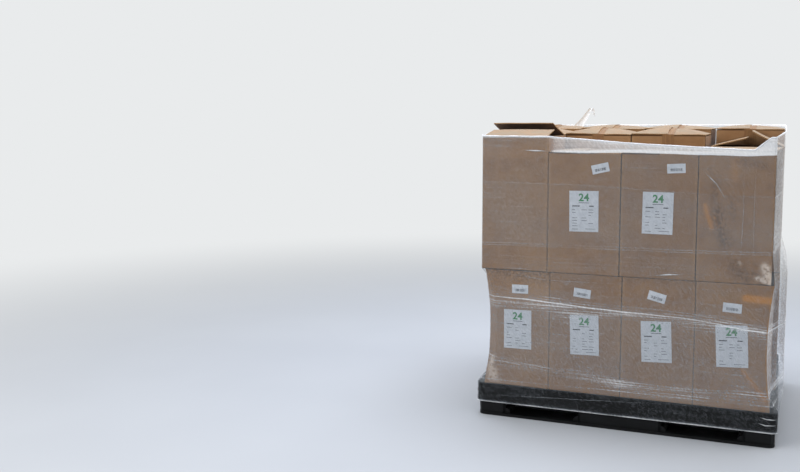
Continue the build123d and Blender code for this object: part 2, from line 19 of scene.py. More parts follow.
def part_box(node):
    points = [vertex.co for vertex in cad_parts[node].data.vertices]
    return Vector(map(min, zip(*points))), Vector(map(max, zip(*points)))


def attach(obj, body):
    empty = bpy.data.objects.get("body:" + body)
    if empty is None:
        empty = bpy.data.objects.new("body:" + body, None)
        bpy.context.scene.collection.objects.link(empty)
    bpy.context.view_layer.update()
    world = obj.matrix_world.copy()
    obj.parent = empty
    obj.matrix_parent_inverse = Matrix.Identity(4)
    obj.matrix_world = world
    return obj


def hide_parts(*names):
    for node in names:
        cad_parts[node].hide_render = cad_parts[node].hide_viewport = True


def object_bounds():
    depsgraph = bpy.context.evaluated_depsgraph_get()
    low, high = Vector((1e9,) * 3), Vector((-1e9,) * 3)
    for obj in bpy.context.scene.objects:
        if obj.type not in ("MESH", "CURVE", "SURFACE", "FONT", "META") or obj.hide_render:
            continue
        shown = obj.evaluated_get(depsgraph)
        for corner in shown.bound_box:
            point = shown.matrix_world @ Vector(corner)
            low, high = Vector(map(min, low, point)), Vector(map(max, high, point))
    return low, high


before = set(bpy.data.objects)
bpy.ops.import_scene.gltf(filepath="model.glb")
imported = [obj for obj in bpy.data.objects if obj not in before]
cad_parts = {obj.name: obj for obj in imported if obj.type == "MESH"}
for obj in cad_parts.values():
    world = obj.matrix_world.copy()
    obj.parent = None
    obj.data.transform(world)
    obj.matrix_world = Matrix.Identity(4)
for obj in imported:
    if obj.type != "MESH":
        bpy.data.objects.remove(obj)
CAD_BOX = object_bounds()

MM = 0.001
BODY = "root"
LOG = logging.getLogger("pallet_load")

# Corners nearer than this are one corner, in a CAD mesh and in a new one
CAD_DOUBLES = 0.01 * MM
NEW_DOUBLES = 0.02 * MM
SHARP_ANGLE = math.radians(38)

# How much a folded or cut edge of the board is rubbed, from 0 to 1
EDGE_WEAR = 0.3

# Radius of the film's way round the load's upright corners
WRAP_CORNER = 60 * MM

# Where the tight film has drawn in the lower layer's ends, how far on the left and on the right,
# and between which places that grows, outwards from the middle and towards the front
PULL_LOW = 155 * MM
PULL_HIGH = 640 * MM
PULL_DEPTH = 14 * MM
PULL_DEPTH_RIGHT = 19 * MM
PULL_OUTWARDS = (300 * MM, 540 * MM)
PULL_TO_FRONT = (-185 * MM, -385 * MM)

Colour = tuple[float, float, float, float]
Inputs = dict[str | int, object]
Shares = tuple[float, float, float, float]


def linear(hex_colour: str) -> Colour:
    """Linear colour of an sRGB hex value such as "#c09060".

    Args:
        hex_colour: Six hex digits after a hash sign.

    Returns:
        Red, green, blue and an alpha of 1.
    """
    channels = [int(hex_colour[i:i + 2], 16) / 255 for i in (1, 3, 5)]
    bent = [c / 12.92 if c <= 0.04045 else ((c + 0.055) / 1.055) ** 2.4 for c in channels]
    return (*bent, 1.0)


def rise(value: float, start: float, end: float) -> float:
    """Share of the way from a start to an end, 0 before it and 1 past it."""
    return min(1.0, max(0.0, (value - start) / (end - start)))


def add_node(tree: NodeTree, kind: str, inputs: Inputs | None = None, **settings: object) -> Node:
    """Adds a node, with its settings and what feeds or fills its inputs.

    Args:
        tree: The node tree that it goes into.
        kind: The node's type.
        inputs: For each input, by name or place, a socket to link or a value to set.
        **settings: The node's own properties.

    Returns:
        The new node.
    """
    made = tree.nodes.new(kind)
    for name, value in settings.items():
        setattr(made, name, value)
    for key, value in (inputs or {}).items():
        if isinstance(value, NodeSocket):
            tree.links.new(value, made.inputs[key])
        else:
            made.inputs[key].default_value = value
    return made


class Step(Enum):
    """Steps in which a finish is worked out: type of node, inputs in their order, output and settings.

    EASED and STRAIGHT take a value, its low and its high, and the results there, 0 and 1 if left
    out. MIX and BLEND take a share, and what it leads from and to. RELIEF takes heights from 0 to
    1, their real height in metres and the strength.
    """

    ADD = ("ShaderNodeMath", (0, 1), 0, {"operation": "ADD"})
    SUBTRACT = ("ShaderNodeMath", (0, 1), 0, {"operation": "SUBTRACT"})
    TIMES = ("ShaderNodeMath", (0, 1), 0, {"operation": "MULTIPLY"})
    DIVIDE = ("ShaderNodeMath", (0, 1), 0, {"operation": "DIVIDE"})
    GREATER = ("ShaderNodeMath", (0, 1), 0, {"operation": "MAXIMUM"})
    ABSOLUTE = ("ShaderNodeMath", (0,), 0, {"operation": "ABSOLUTE"})
    SINE = ("ShaderNodeMath", (0,), 0, {"operation": "SINE"})
    EASED = ("ShaderNodeMapRange", (0, 1, 2, 3, 4), 0, {"interpolation_type": "SMOOTHSTEP"})
    STRAIGHT = ("ShaderNodeMapRange", (0, 1, 2, 3, 4), 0, {"interpolation_type": "LINEAR"})
    MIX = ("ShaderNodeMix", ("Factor", 2, 3), 0, {"data_type": "FLOAT"})
    BLEND = ("ShaderNodeMix", ("Factor", 6, 7), 2, {"data_type": "RGBA"})
    SCALE = ("ShaderNodeMapping", ("Vector", "Scale"), 0, {})
    NOISE = ("ShaderNodeTexNoise", ("Vector", "Scale", "Detail"), 0, {})
    RELIEF = ("ShaderNodeBump", ("Height", "Distance", "Strength"), 0, {})
    DISTANCE = ("ShaderNodeVectorMath", (0,), "Value", {"operation": "LENGTH"})

    def __call__(self, tree: NodeTree, *values: object) -> NodeSocket:
        """Result of the step.

        Args:
            tree: The node tree.
            *values: Sockets or values, in the order of the step's inputs.

        Returns:
            The result's socket.
        """
        kind, inputs, output, settings = self.value
        return add_node(tree, kind, dict(zip(inputs, values)), **settings).outputs[output]


def added(tree: NodeTree, parts: Sequence[object]) -> NodeSocket:
    """Sum of several sockets or numbers.

    Args:
        tree: The node tree.
        parts: What is added up, two or more.

    Returns:
        The sum's socket.
    """
    total, *others = parts
    for part in others:
        total = Step.ADD(tree, total, part)
    return total


def lumps(tree: NodeTree, place: object, size: float, detail: float = 2.0,
          stretch: tuple[float, float, float] = (1.0, 1.0, 1.0)) -> NodeSocket:
    """Unevenness whose lumps have a real size.

    Args:
        tree: The node tree.
        place: Socket with coordinates in metres.
        size: Size of a lump in metres.
        detail: How many finer layers are added.
        stretch: How many times longer the lumps are along X, Y and Z.

    Returns:
        Socket with values round 0.5.
    """
    scaled = Step.SCALE(tree, place, tuple(1 / (size * s) for s in stretch))
    return Step.NOISE(tree, scaled, 1.0, detail)


def flute_waves(tree: NodeTree, across: object, pitch: float) -> NodeSocket:
    """Waves of the corrugated paper, from -1 to 1.

    Args:
        tree: The node tree.
        across: Socket with the distance across the flutes.
        pitch: Distance from flute to flute.

    Returns:
        The height's socket.
    """
    return Step.SINE(tree, Step.TIMES(tree, across, 2 * math.pi / pitch))


def coats(tree: NodeTree, base: str, *layers: tuple[object, str]) -> NodeSocket:
    """Colour of a base with others laid over it, one after the other.

    Args:
        tree: The node tree.
        base: The base's colour.
        *layers: For each layer how much of it shows, from 0 to 1, and its colour.

    Returns:
        The colour's socket.
    """
    colour = linear(base)
    for share, tint in layers:
        colour = Step.BLEND(tree, share, colour, linear(tint))
    return colour


def readings(tree: NodeTree, *names: str) -> list[NodeSocket]:
    """Numbers that a piece's mesh holds for its finish.

    Args:
        tree: The node tree.
        *names: Names of the attributes.

    Returns:
        A socket for each.
    """
    return [add_node(tree, "ShaderNodeAttribute", attribute_name=name).outputs["Fac"] for name in names]


def background_rays(tree: NodeTree) -> NodeSocket:
    """Which rays show the background: those of the camera, and those that gloss and glass send on.

    Args:
        tree: The node tree.

    Returns:
        Socket that is 1 for these rays and 0 for those that light the load.
    """
    path = add_node(tree, "ShaderNodeLightPath").outputs
    bent = Step.GREATER(tree, path["Is Glossy Ray"], path["Is Transmission Ray"])
    return Step.GREATER(tree, path["Is Camera Ray"], bent)


@dataclass(frozen=True)
class Finish:
    """Finish of one real material, made as a node material of the same name."""

    name: str

    def build(self) -> Material:
        """Makes the material.

        Returns:
            The node material.
        """
        material = bpy.data.materials.new(self.name)
        material.use_nodes = True
        tree = material.node_tree
        tree.nodes.clear()
        add_node(tree, "ShaderNodeOutputMaterial", {"Surface": self.surface(tree)})
        return material

    def surface(self, tree: NodeTree) -> NodeSocket:
        """The shader, fed with the finish's look."""
        return add_node(tree, "ShaderNodeBsdfPrincipled", self.look(tree)).outputs[0]

    def look(self, tree: NodeTree) -> Inputs:
        """What goes into the shader, which each finish states itself."""
        raise NotImplementedError


@dataclass(frozen=True)
class KraftBoard(Finish):
    """Kraft liner glued over corrugated paper: matt, fibrous, with the flutes faintly showing through.

    Its fibres are drawn coarser than real ones, as coarse as they need to be to show.
    """

    liner: str
    fibre: str
    scuff: str
    stain: str = "#c08338"
    # Painted shade in the seams and folded edges between cartons, laid on where the gap attribute is high
    shade: str = "#1d140d"
    # Painted shade of the dark smears under the upper layer's overhang and in the creases of the right upper
    # carton, and colour of two small dark spots on the left upper carton
    smear_shade: str = "#4a3018"
    # Pale colour of ripped liner, also a painted highlight on the lit facets of the dents and of the crushed
    # corner
    torn_and_highlight: str = "#ead8c6"
    # Colour of dust on the up-facing faces, also a painted glare of the sky on them
    dust: str = "#958d78"
    flute_pitch: float = 7.5 * MM
    fibre_size: float = 1.6 * MM
    mottle_size: float = 55 * MM
    cloud_size: float = 260 * MM
    relief: float = 0.35 * MM

    def look(self, tree: NodeTree) -> Inputs:
        """Board whose flutes run up the walls and across the flaps.

        Args:
            tree: The material's tree.

        Returns:
            What goes into the shader.
        """
        place = add_node(tree, "ShaderNodeTexCoord").outputs["Object"]
        axes = add_node(tree, "ShaderNodeSeparateXYZ", {0: place}).outputs
        facing = add_node(tree, "ShaderNodeNewGeometry").outputs["Normal"]
        upward = add_node(tree, "ShaderNodeSeparateXYZ", {0: facing}).outputs[2]
        flat = Step.EASED(tree, Step.ABSOLUTE(tree, upward), 0.55, 0.75)
        across = Step.MIX(tree, flat, added(tree, axes[:2]), axes[1])
        flutes = flute_waves(tree, across, self.flute_pitch)
        fibres = lumps(tree, place, self.fibre_size, 3.0)
        mottle = lumps(tree, place, self.mottle_size, 3.0)
        clouds = lumps(tree, place, self.cloud_size, 1.0)
        tone, warm, smear_shade, torn_and_highlight, gap, wear = readings(tree, "tone", "warm", "smear_shade", "torn_and_highlight", "gap", "wear")
        flap_top = Step.EASED(tree, upward, 0.6, 0.9)
        dust_and_glare = Step.EASED(tree, mottle, 0.3, 0.65, 0.28, 0.52)
        smear_shade_breakup = Step.EASED(tree, lumps(tree, place, 11 * MM, 4.0), 0.36, 0.6, 0.1, 1.0)
        ragged = Step.EASED(tree, lumps(tree, place, 15 * MM, 4.0), 0.36, 0.5, 0.35, 1.0)
        rubbed = Step.EASED(tree, lumps(tree, place, 9 * MM, 4.0), 0.35, 0.6)
        colour = coats(
            tree, self.liner,
            (Step.EASED(tree, fibres, 0.35, 0.75, 0.0, 0.45), self.fibre),
            (Step.EASED(tree, mottle, 0.35, 0.7, 0.0, 0.3), self.fibre),
            (Step.EASED(tree, clouds, 0.4, 0.65, 0.0, 0.22), self.scuff),
            (Step.EASED(tree, flutes, -1.0, 1.0, 0.0, 0.045), self.fibre),
            # Darker tone: random from carton to carton, and painted shade behind the film, in the slits and
            # deep in the open cartons
            (tone, self.fibre),
            # Dust and a painted sky glare on the up-facing faces
            (Step.TIMES(tree, flap_top, dust_and_glare), self.dust),
            (warm, self.stain),
            # Dark smears: painted shade under the overhang and in creases, broken up by noise
            (Step.TIMES(tree, smear_shade, smear_shade_breakup), self.smear_shade),
            # Pale patches: ripped liner, partly a painted highlight on lit facets
            (Step.TIMES(tree, torn_and_highlight, ragged), self.torn_and_highlight),
            # Painted shade in the seams and folds between cartons
            (gap, self.shade),
            (Step.TIMES(tree, wear, rubbed), self.scuff),
        )
        heights = added(tree, (Step.TIMES(tree, flutes, 0.1), fibres))
        return {
            "Base Color": colour,
            "Roughness": Step.EASED(tree, fibres, 0.3, 0.7, 0.74, 0.9),
            "Specular IOR Level": 0.3,
            "Sheen Weight": 0.1,
            "Sheen Roughness": 0.5,
            "Normal": Step.RELIEF(tree, heights, self.relief, 0.6),
        }


@dataclass(frozen=True)
class CutBoardEdge(Finish):
    """Cut edge of the board: the bare ends of the flutes, which read as fine light and dark cells, the dark
    cells a painted shade in the flutes' openings.
    """

    paper: str
    hollow_shade: str
    flute_pitch: float = 7.5 * MM
    fray: float = 4 * MM
    relief: float = 0.8 * MM

    def look(self, tree: NodeTree) -> Inputs:
        """Edge with cells as wide as half a flute.

        Args:
            tree: The material's tree.

        Returns:
            What goes into the shader.
        """
        place = add_node(tree, "ShaderNodeTexCoord").outputs["Object"]
        axes = add_node(tree, "ShaderNodeSeparateXYZ", {0: place}).outputs
        cells = flute_waves(tree, added(tree, axes[:2]), self.flute_pitch)
        frayed = added(tree, (cells, lumps(tree, place, self.fray, 3.0)))
        pattern = Step.EASED(tree, frayed, 0.2, 1.2)
        return {
            "Base Color": coats(tree, self.paper, (pattern, self.hollow_shade)),
            "Roughness": 0.9,
            "Specular IOR Level": 0.2,
            "Normal": Step.RELIEF(tree, pattern, self.relief, 0.5),
        }


@dataclass(frozen=True)
class MouldedPolyethylene(Finish):
    """Black injection moulded polyethylene: satin, finely grained, with grey scuffs and dust.

    Its grain is drawn coarser than a real mould's, as coarse as it needs to be to show.
    """

    body: str
    scuff: str
    grain: float = 1.8 * MM
    relief: float = 0.25 * MM

    def look(self, tree: NodeTree) -> Inputs:
        """Black plastic with a spark grained surface and upright scratches.

        Args:
            tree: The material's tree.

        Returns:
            What goes into the shader.
        """
        place = add_node(tree, "ShaderNodeTexCoord").outputs["Object"]
        dust = lumps(tree, place, 90 * MM, 4.0)
        scratches = lumps(tree, place, 6 * MM, 3.0, (12.0, 12.0, 0.5))
        return {
            "Base Color": coats(
                tree, self.body,
                (Step.EASED(tree, dust, 0.4, 0.75, 0.0, 0.35), self.scuff),
                (Step.EASED(tree, scratches, 0.58, 0.72, 0.0, 0.5), self.scuff),
            ),
            "Roughness": Step.EASED(tree, dust, 0.3, 0.7, 0.42, 0.66),
            "Specular IOR Level": 0.22,
            "Normal": Step.RELIEF(tree, lumps(tree, place, self.grain, 2.0), self.relief, 0.5),
        }


@dataclass(frozen=True)
class PackingTape(Finish):
    """Brown polypropylene tape: a glossy film whose glue lets the board show through."""

    film: str
    streak: str
    relief: float = 0.3 * MM

    def look(self, tree: NodeTree) -> Inputs:
        """Tape with fine lines along the carton's depth and small air pockets.

        Args:
            tree: The material's tree.

        Returns:
            What goes into the shader.
        """
        place = add_node(tree, "ShaderNodeTexCoord").outputs["Object"]
        lines = lumps(tree, place, 5 * MM, 2.0, (1.0, 30.0, 30.0))
        pockets = lumps(tree, place, 14 * MM, 3.0)
        streaks = Step.EASED(tree, lines, 0.4, 0.65, 0.0, 0.6)
        return {
            "Base Color": coats(tree, self.film, (streaks, self.streak)),
            "Alpha": Step.EASED(tree, pockets, 0.3, 0.7, 0.82, 0.94),
            "Roughness": Step.EASED(tree, pockets, 0.3, 0.7, 0.34, 0.5),
            "Normal": Step.RELIEF(tree, pockets, self.relief, 0.3),
        }


@dataclass(frozen=True)
class LabelPaper(Finish):
    """Coated white label paper: smooth and slightly blue, with a soft sheen and coarsened fibres."""

    face: str
    shade: str
    relief: float = 0.1 * MM

    def look(self, tree: NodeTree) -> Inputs:
        """Paper with a faint cloudiness.

        Args:
            tree: The material's tree.

        Returns:
            What goes into the shader.
        """
        place = add_node(tree, "ShaderNodeTexCoord").outputs["Object"]
        clouds = Step.EASED(tree, lumps(tree, place, 22 * MM, 3.0), 0.35, 0.7)
        return {
            "Base Color": coats(tree, self.face, (clouds, self.shade)),
            "Roughness": 0.5,
            "Normal": Step.RELIEF(tree, lumps(tree, place, 1.2 * MM, 2.0), self.relief, 0.4),
        }


@dataclass(frozen=True)
class PrintedInk(Finish):
    """Thermal print on the paper: matt, a little broken up by the paper's grain."""

    ink: str
    worn: str

    def look(self, tree: NodeTree) -> Inputs:
        """Ink with lighter specks.

        Args:
            tree: The material's tree.

        Returns:
            What goes into the shader.
        """
        place = add_node(tree, "ShaderNodeTexCoord").outputs["Object"]
        specks = Step.EASED(tree, lumps(tree, place, 2.5 * MM, 3.0), 0.5, 0.75, 0.0, 0.6)
        return {
            "Base Color": coats(tree, self.ink, (specks, self.worn)),
            "Roughness": 0.6,
        }


@dataclass(frozen=True)
class FilmEdge:
    """Edge of one turn of film, which shows as pale lines all round the load.

    Its places are pairs of a distance round the load, from the front left corner, and a height.
    """

    places: tuple[tuple[float, float], ...]
    width: float
    strength: float
    offsets: tuple[float, ...] = (0.0,)
    streaked: float = 0.0
    veil_above: float = 0.0
    veil_below: float = 0.0


@dataclass(frozen=True)
class LinearLowDensityFilm(Finish):
    """Clear stretch film in several turns: glossy, nearly clear where tight, milky where it is creased.

    Its cover, from which alpha and whiteness follow, is the sum of the cover of a clear turn, of the
    edges of the turns, of streaks and clouds, and of the "gather" and "loose" of its mesh. Where it is seen
    edge-on its cover rises, haze together with a painted reflection, and its whiteness carries painted
    highlights on the crinkles and a painted backlight in the free band.
    """

    veil: str
    # White of creased, milky film; it also gives the painted highlights on the crinkles and the painted
    # backlight of the free band
    crease: str
    edges: tuple[FilmEdge, ...]
    lap_length: float
    clear: float = 0.105
    top: float = 1.4
    waver: float = 22 * MM
    band_start: float = 1.1446
    band_blur: float = 5 * MM
    # Whiteness of the free band: milky film with a painted backlight
    band_white_and_backlight: float = 2.2
    glint_above: float = 4 * MM
    glint_width: float = 8 * MM
    glint_strength: float = 1.9
    veil_blur: float = 9 * MM
    layer_seam: float = 0.645
    crinkle_size: float = 7.5 * MM
    crinkle_slant: float = -0.65
    relief: float = 1.0 * MM

    def look(self, tree: NodeTree) -> Inputs:
        """Film that the wrap's chart lays out by the way round the load and the height.

        Args:
            tree: The material's tree.

        Returns:
            What goes into the shader.
        """
        chart = add_node(tree, "ShaderNodeUVMap", uv_map="wrap").outputs[0]
        axes = add_node(tree, "ShaderNodeSeparateXYZ", {0: chart}).outputs
        waver = Step.SUBTRACT(tree, lumps(tree, chart, 160 * MM, 2.0, (2.5, 1.0, 1.0)), 0.5)
        height = added(tree, (axes[1], Step.TIMES(tree, waver, self.waver)))
        share = Step.DIVIDE(tree, axes[0], self.lap_length)
        gathered, loose = readings(tree, "gather", "loose")
        foot, start = self.band_start - self.band_blur, self.band_start + self.band_blur
        free = Step.TIMES(tree, Step.EASED(tree, height, foot, start), loose)
        streaks = lumps(tree, chart, 5 * MM, 2.0, (60.0, 1.0, 1.0))
        clouds = lumps(tree, chart, 150 * MM, 2.0, (1.8, 1.0, 1.0))
        clouded = Step.EASED(tree, clouds, 0.42, 0.62)
        # Cover that rises where the film is seen edge-on: haze, together with a painted reflection
        grazing_haze_and_reflection = add_node(tree, "ShaderNodeLayerWeight", {"Blend": 0.5}).outputs["Facing"]
        cover = added(tree, [
            gathered,
            self.clear,
            *self._free_band(tree, chart, height, free, loose),
            *self._turns(tree, chart, height, share, streaks),
            Step.TIMES(tree, Step.EASED(tree, streaks, 0.54, 0.8, 0.0, 0.2), clouded),
            Step.EASED(tree, clouds, 0.35, 0.7, -0.02, 0.04),
            Step.STRAIGHT(tree, grazing_haze_and_reflection, 0.74, 1.0, 0.0, 0.38),
        ])
        slanted = add_node(tree, "ShaderNodeVectorRotate", {"Vector": chart, "Angle": self.crinkle_slant},
                           rotation_type="Z_AXIS").outputs[0]
        crinkles = lumps(tree, slanted, self.crinkle_size, 2.0, (1.0, 2.4, 1.0))
        upper, lower = self.layer_seam + 90 * MM, self.layer_seam - 60 * MM
        strength = Step.EASED(tree, height, upper, lower, 0.62, 1.0)
        # The crinkles vary the cover, and the brightest of them whiten the film as painted highlights
        crinkled, crinkle_highlights = (
            Step.TIMES(tree, Step.STRAIGHT(tree, crinkles, *limits), strength)
            for limits in ((0.34, 0.66, -0.06, 0.075), (0.45, 0.68, 0.0, 0.16))
        )
        sparks = lumps(tree, chart, 4 * MM, 3.0, (1.0, 5.0, 1.0))
        glints = Step.EASED(tree, sparks, 0.52, 0.8, 0.0, 0.04)
        # Whiteness: milky where the cover is dense, plus the painted crinkle highlights and the free band's
        # painted backlight
        milky_and_highlights = added(tree, (
            Step.EASED(tree, cover, 0.28, 0.66),
            crinkle_highlights,
            Step.TIMES(tree, free, self.band_white_and_backlight),
        ))
        veiled = added(tree, (cover, added(tree, (crinkled, glints))))
        low, high = (
            Step.TIMES(tree, pattern, depth) for pattern, depth in ((streaks, 0.4), (crinkles, 0.7))
        )
        heights = added(tree, (low, high))
        return {
            "Base Color": coats(tree, self.veil, (milky_and_highlights, self.crease)),
            "Alpha": Step.STRAIGHT(tree, veiled, 0.0, 0.9, 0.0, 0.9),
            "Roughness": Step.EASED(tree, crinkles, 0.35, 0.7, 0.18, 0.34),
            "IOR": 1.51,
            "Specular IOR Level": 1.0,
            "Normal": Step.RELIEF(tree, heights, self.relief, 0.5),
        }

    def _free_band(self, tree: NodeTree, chart: NodeSocket, height: NodeSocket, free: NodeSocket,
                   loose: NodeSocket) -> list[NodeSocket]:
        """Cover of the band of film that stands free over the front row.

        Args:
            tree: The material's tree.
            chart: Place on the wrap.
            height: Height, a little wavy.
            free: Cover of the band, 0 outside it.
            loose: The same without the band's limit in height.

        Returns:
            Cover of the band, drawn out in fine streaks, and of the glint along its foot.
        """
        pulled = lumps(tree, chart, 9 * MM, 1.0, (30.0, 1.0, 1.0))
        drawn = Step.EASED(tree, pulled, 0.3, 0.7, 0.85, 1.15)
        above = Step.SUBTRACT(tree, height, self.band_start + self.glint_above)
        near = Step.EASED(tree, Step.ABSOLUTE(tree, above), self.glint_width, 0.0)
        bright = Step.TIMES(tree, loose, self.glint_strength)
        return [Step.TIMES(tree, free, drawn), Step.TIMES(tree, near, bright)]

    def _turns(self, tree: NodeTree, chart: NodeSocket, height: NodeSocket, share: NodeSocket,
               streaks: NodeSocket) -> list[NodeSocket]:
        """Cover along the edges of the film's turns.

        Args:
            tree: The material's tree.
            chart: Place on the wrap.
            height: Height, a little wavy.
            share: Share of the way round the load.
            streaks: Pattern of long level streaks.

        Returns:
            Cover of each line and veil.
        """
        fade = lumps(tree, chart, 120 * MM, 2.0, (3.0, 1.0, 1.0))
        broken = Step.EASED(tree, fade, 0.34, 0.6, 0.5, 1.0)
        parts = []
        for edge in self.edges:
            above = Step.SUBTRACT(tree, height, self._height(tree, share, edge))
            for offset in edge.offsets:
                away = Step.ABSOLUTE(tree, Step.SUBTRACT(tree, above, offset))
                near = Step.EASED(tree, away, edge.width, 0.0, 0.0, edge.strength)
                line = Step.TIMES(tree, near, broken)
                if edge.streaked:
                    least, most = 1 - edge.streaked, 1 + edge.streaked
                    drawn = Step.EASED(tree, streaks, 0.4, 0.62, least, most)
                    line = Step.TIMES(tree, line, drawn)
                parts.append(line)
            for veil, blur in ((edge.veil_above, self.veil_blur), (edge.veil_below, -self.veil_blur)):
                if veil:
                    parts.append(Step.EASED(tree, above, -blur, blur, 0.0, veil))
        return parts

    def _height(self, tree: NodeTree, share: NodeSocket, edge: FilmEdge) -> NodeSocket:
        """Height of a film edge as a curve over the way round the load.

        Args:
            tree: The material's tree.
            share: Share of the way round.
            edge: The film edge.

        Returns:
            The height in metres.
        """
        node = add_node(tree, "ShaderNodeFloatCurve", {"Value": share})
        curve = node.mapping.curves[0]
        places = [(along / self.lap_length, height / self.top) for along, height in edge.places]
        start = places[0][1]
        curve.points[0].location = (0.0, start)
        curve.points[1].location = (1.0, start)
        for along, height in places[1:]:
            curve.points.new(along, height)
        node.mapping.update()
        return Step.TIMES(tree, node.outputs[0], self.top)


@dataclass(frozen=True)
class StudioPaper(Finish):
    """Seamless pale paper, matt, which runs on into the background without a horizon."""

    face: str
    cloud: str
    background: str
    near: float = 1.4
    far: float = 6.5
    cloud_size: float = 0.8

    def look(self, tree: NodeTree) -> Inputs:
        """Paper with large faint clouds.

        Args:
            tree: The material's tree.

        Returns:
            What goes into the shader.
        """
        place = add_node(tree, "ShaderNodeTexCoord").outputs["Object"]
        clouds = Step.EASED(tree, lumps(tree, place, self.cloud_size, 2.0), 0.3, 0.7, 0.0, 0.3)
        return {
            "Base Color": coats(tree, self.face, (clouds, self.cloud)),
            "Roughness": 0.9,
            "Specular IOR Level": 0.1,
        }

    def surface(self, tree: NodeTree) -> NodeSocket:
        """Paper that takes on the background's colour far from the load.

        Args:
            tree: The material's tree.

        Returns:
            The paper, and a glow in its place for the rays that show the background.
        """
        place = add_node(tree, "ShaderNodeTexCoord").outputs["Object"]
        far = Step.EASED(tree, Step.DISTANCE(tree, place), self.near, self.far)
        share = Step.TIMES(tree, far, background_rays(tree))
        paper = super().surface(tree)
        glow = add_node(tree, "ShaderNodeEmission", {"Color": linear(self.background), "Strength": 1.0})
        return add_node(tree, "ShaderNodeMixShader", {0: share, 1: paper, 2: glow.outputs[0]}).outputs[0]


class Slot(Enum):
    """Material slots of the record, passed along with the new pieces."""

    BOARD = "corrugated_board"
    PAPER = "label_paper"
    FILM = "stretch_film"


def put_in_scene(name: str, data: bpy.types.ID) -> Object:
    """New object at the origin.

    Args:
        name: Its name.
        data: Its mesh, curve, lamp or camera.

    Returns:
        The object, linked to the scene.
    """
    made = bpy.data.objects.new(name, data)
    bpy.context.scene.collection.objects.link(made)
    return made


def mesh_object(name: str, corners: Sequence[Sequence[float]], faces: Sequence[Sequence[int]],
                materials: Sequence[Material], face_materials: Sequence[int] | None = None,
                smooth: bool = True) -> Object:
    """Mesh object at the origin, with its faces as given.

    Args:
        name: Name of the piece.
        corners: Places of the vertices.
        faces: Vertex numbers of each face.
        materials: The piece's materials.
        face_materials: For each face the number of its material.
        smooth: Whether faces are shaded smooth.

    Returns:
        The new object, linked to the scene.
    """
    mesh = bpy.data.meshes.new(name)
    mesh.from_pydata([tuple(c) for c in corners], [], [tuple(f) for f in faces])
    for material in materials:
        mesh.materials.append(material)
    if face_materials:
        mesh.polygons.foreach_set("material_index", list(face_materials))
    mesh.polygons.foreach_set("use_smooth", [smooth] * len(mesh.polygons))
    mesh.update()
    return put_in_scene(name, mesh)


def set_attribute(piece: Object, name: str, values: Iterable[float]) -> None:
    """Stores one number for each vertex of a piece.

    Args:
        piece: The mesh object.
        name: Name that the material reads.
        values: The numbers, in the order of the vertices.
    """
    layer = piece.data.attributes.new(name, "FLOAT", "POINT")
    layer.data.foreach_set("value", list(values))


def seat(piece: Object, slot: Slot, *nodes: str) -> Object:
    """Puts a finished piece on the load's body and hides the CAD nodes that it stands for.

    Args:
        piece: The piece.
        slot: Not used.
        *nodes: CAD nodes that it stands for.

    Returns:
        The same piece.
    """
    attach(piece, BODY)
    if nodes:
        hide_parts(*nodes)
    LOG.info("%s: %d faces", piece.name, len(piece.data.polygons))
    return piece


def dress(node: str, *materials: Material) -> None:
    """Gives a CAD node its material.

    Args:
        node: Name of the node.
        *materials: What its slots hold.
    """
    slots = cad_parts[node].data.materials
    slots.clear()
    for material in materials:
        slots.append(material)
    LOG.info("%s: dressed in %s", node, materials[0].name)


def islands(node: str) -> list[list[Vector]]:
    """Corners of each separate solid of a CAD node.

    Args:
        node: Name of the node.

    Returns:
        For each solid its corners, from the left solid to the right one.
    """
    bm = bmesh.new()
    bm.from_mesh(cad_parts[node].data)
    bmesh.ops.remove_doubles(bm, verts=bm.verts, dist=CAD_DOUBLES)
    groups = []
    left = set(bm.verts)
    while left:
        group = set()
        waiting = [left.pop()]
        while waiting:
            vertex = waiting.pop()
            group.add(vertex)
            near = [edge.other_vert(vertex) for edge in vertex.link_edges]
            fresh = [other for other in near if other in left]
            left.difference_update(fresh)
            waiting.extend(fresh)
        groups.append([vertex.co.copy() for vertex in group])
    bm.free()
    return sorted(groups, key=lambda corners: (sum(c.x for c in corners) / len(corners), corners[0].z))


def ripple(x: float, y: float, z: float, size: float, seed: float = 0.0) -> float:
    """Smooth unevenness from -1 to 1 at a place.

    Args:
        x: Place along X in metres.
        y: Place along Y.
        z: Place along Z.
        size: Size of one swell in metres.
        seed: Shifts the pattern.

    Returns:
        The height of the swell.
    """
    return noise.noise(Vector((x / size + seed * 7.3, y / size - seed * 3.1, z / size + seed)))


def pulled_in(x: float, y: float, z: float) -> float:
    """How far the film has drawn the lower layer's ends in, most at their front.

    Args:
        x: Place along X.
        y: Place along Y.
        z: Height.

    Returns:
        The shift along X in metres.
    """
    if not PULL_LOW < z < PULL_HIGH:
        return 0.0
    depth = PULL_DEPTH if x < 0 else -PULL_DEPTH_RIGHT
    belly = math.sin(math.pi * rise(z, PULL_LOW, PULL_HIGH)) ** 0.8
    return depth * belly * rise(y, *PULL_TO_FRONT) * rise(abs(x), *PULL_OUTWARDS) ** 2


class Stand(NamedTuple):
    """Place on the way round a box: X, Y, direction outwards, softness and way to the next place."""

    x: float
    y: float
    out_x: float
    out_y: float
    soft: float
    run: float


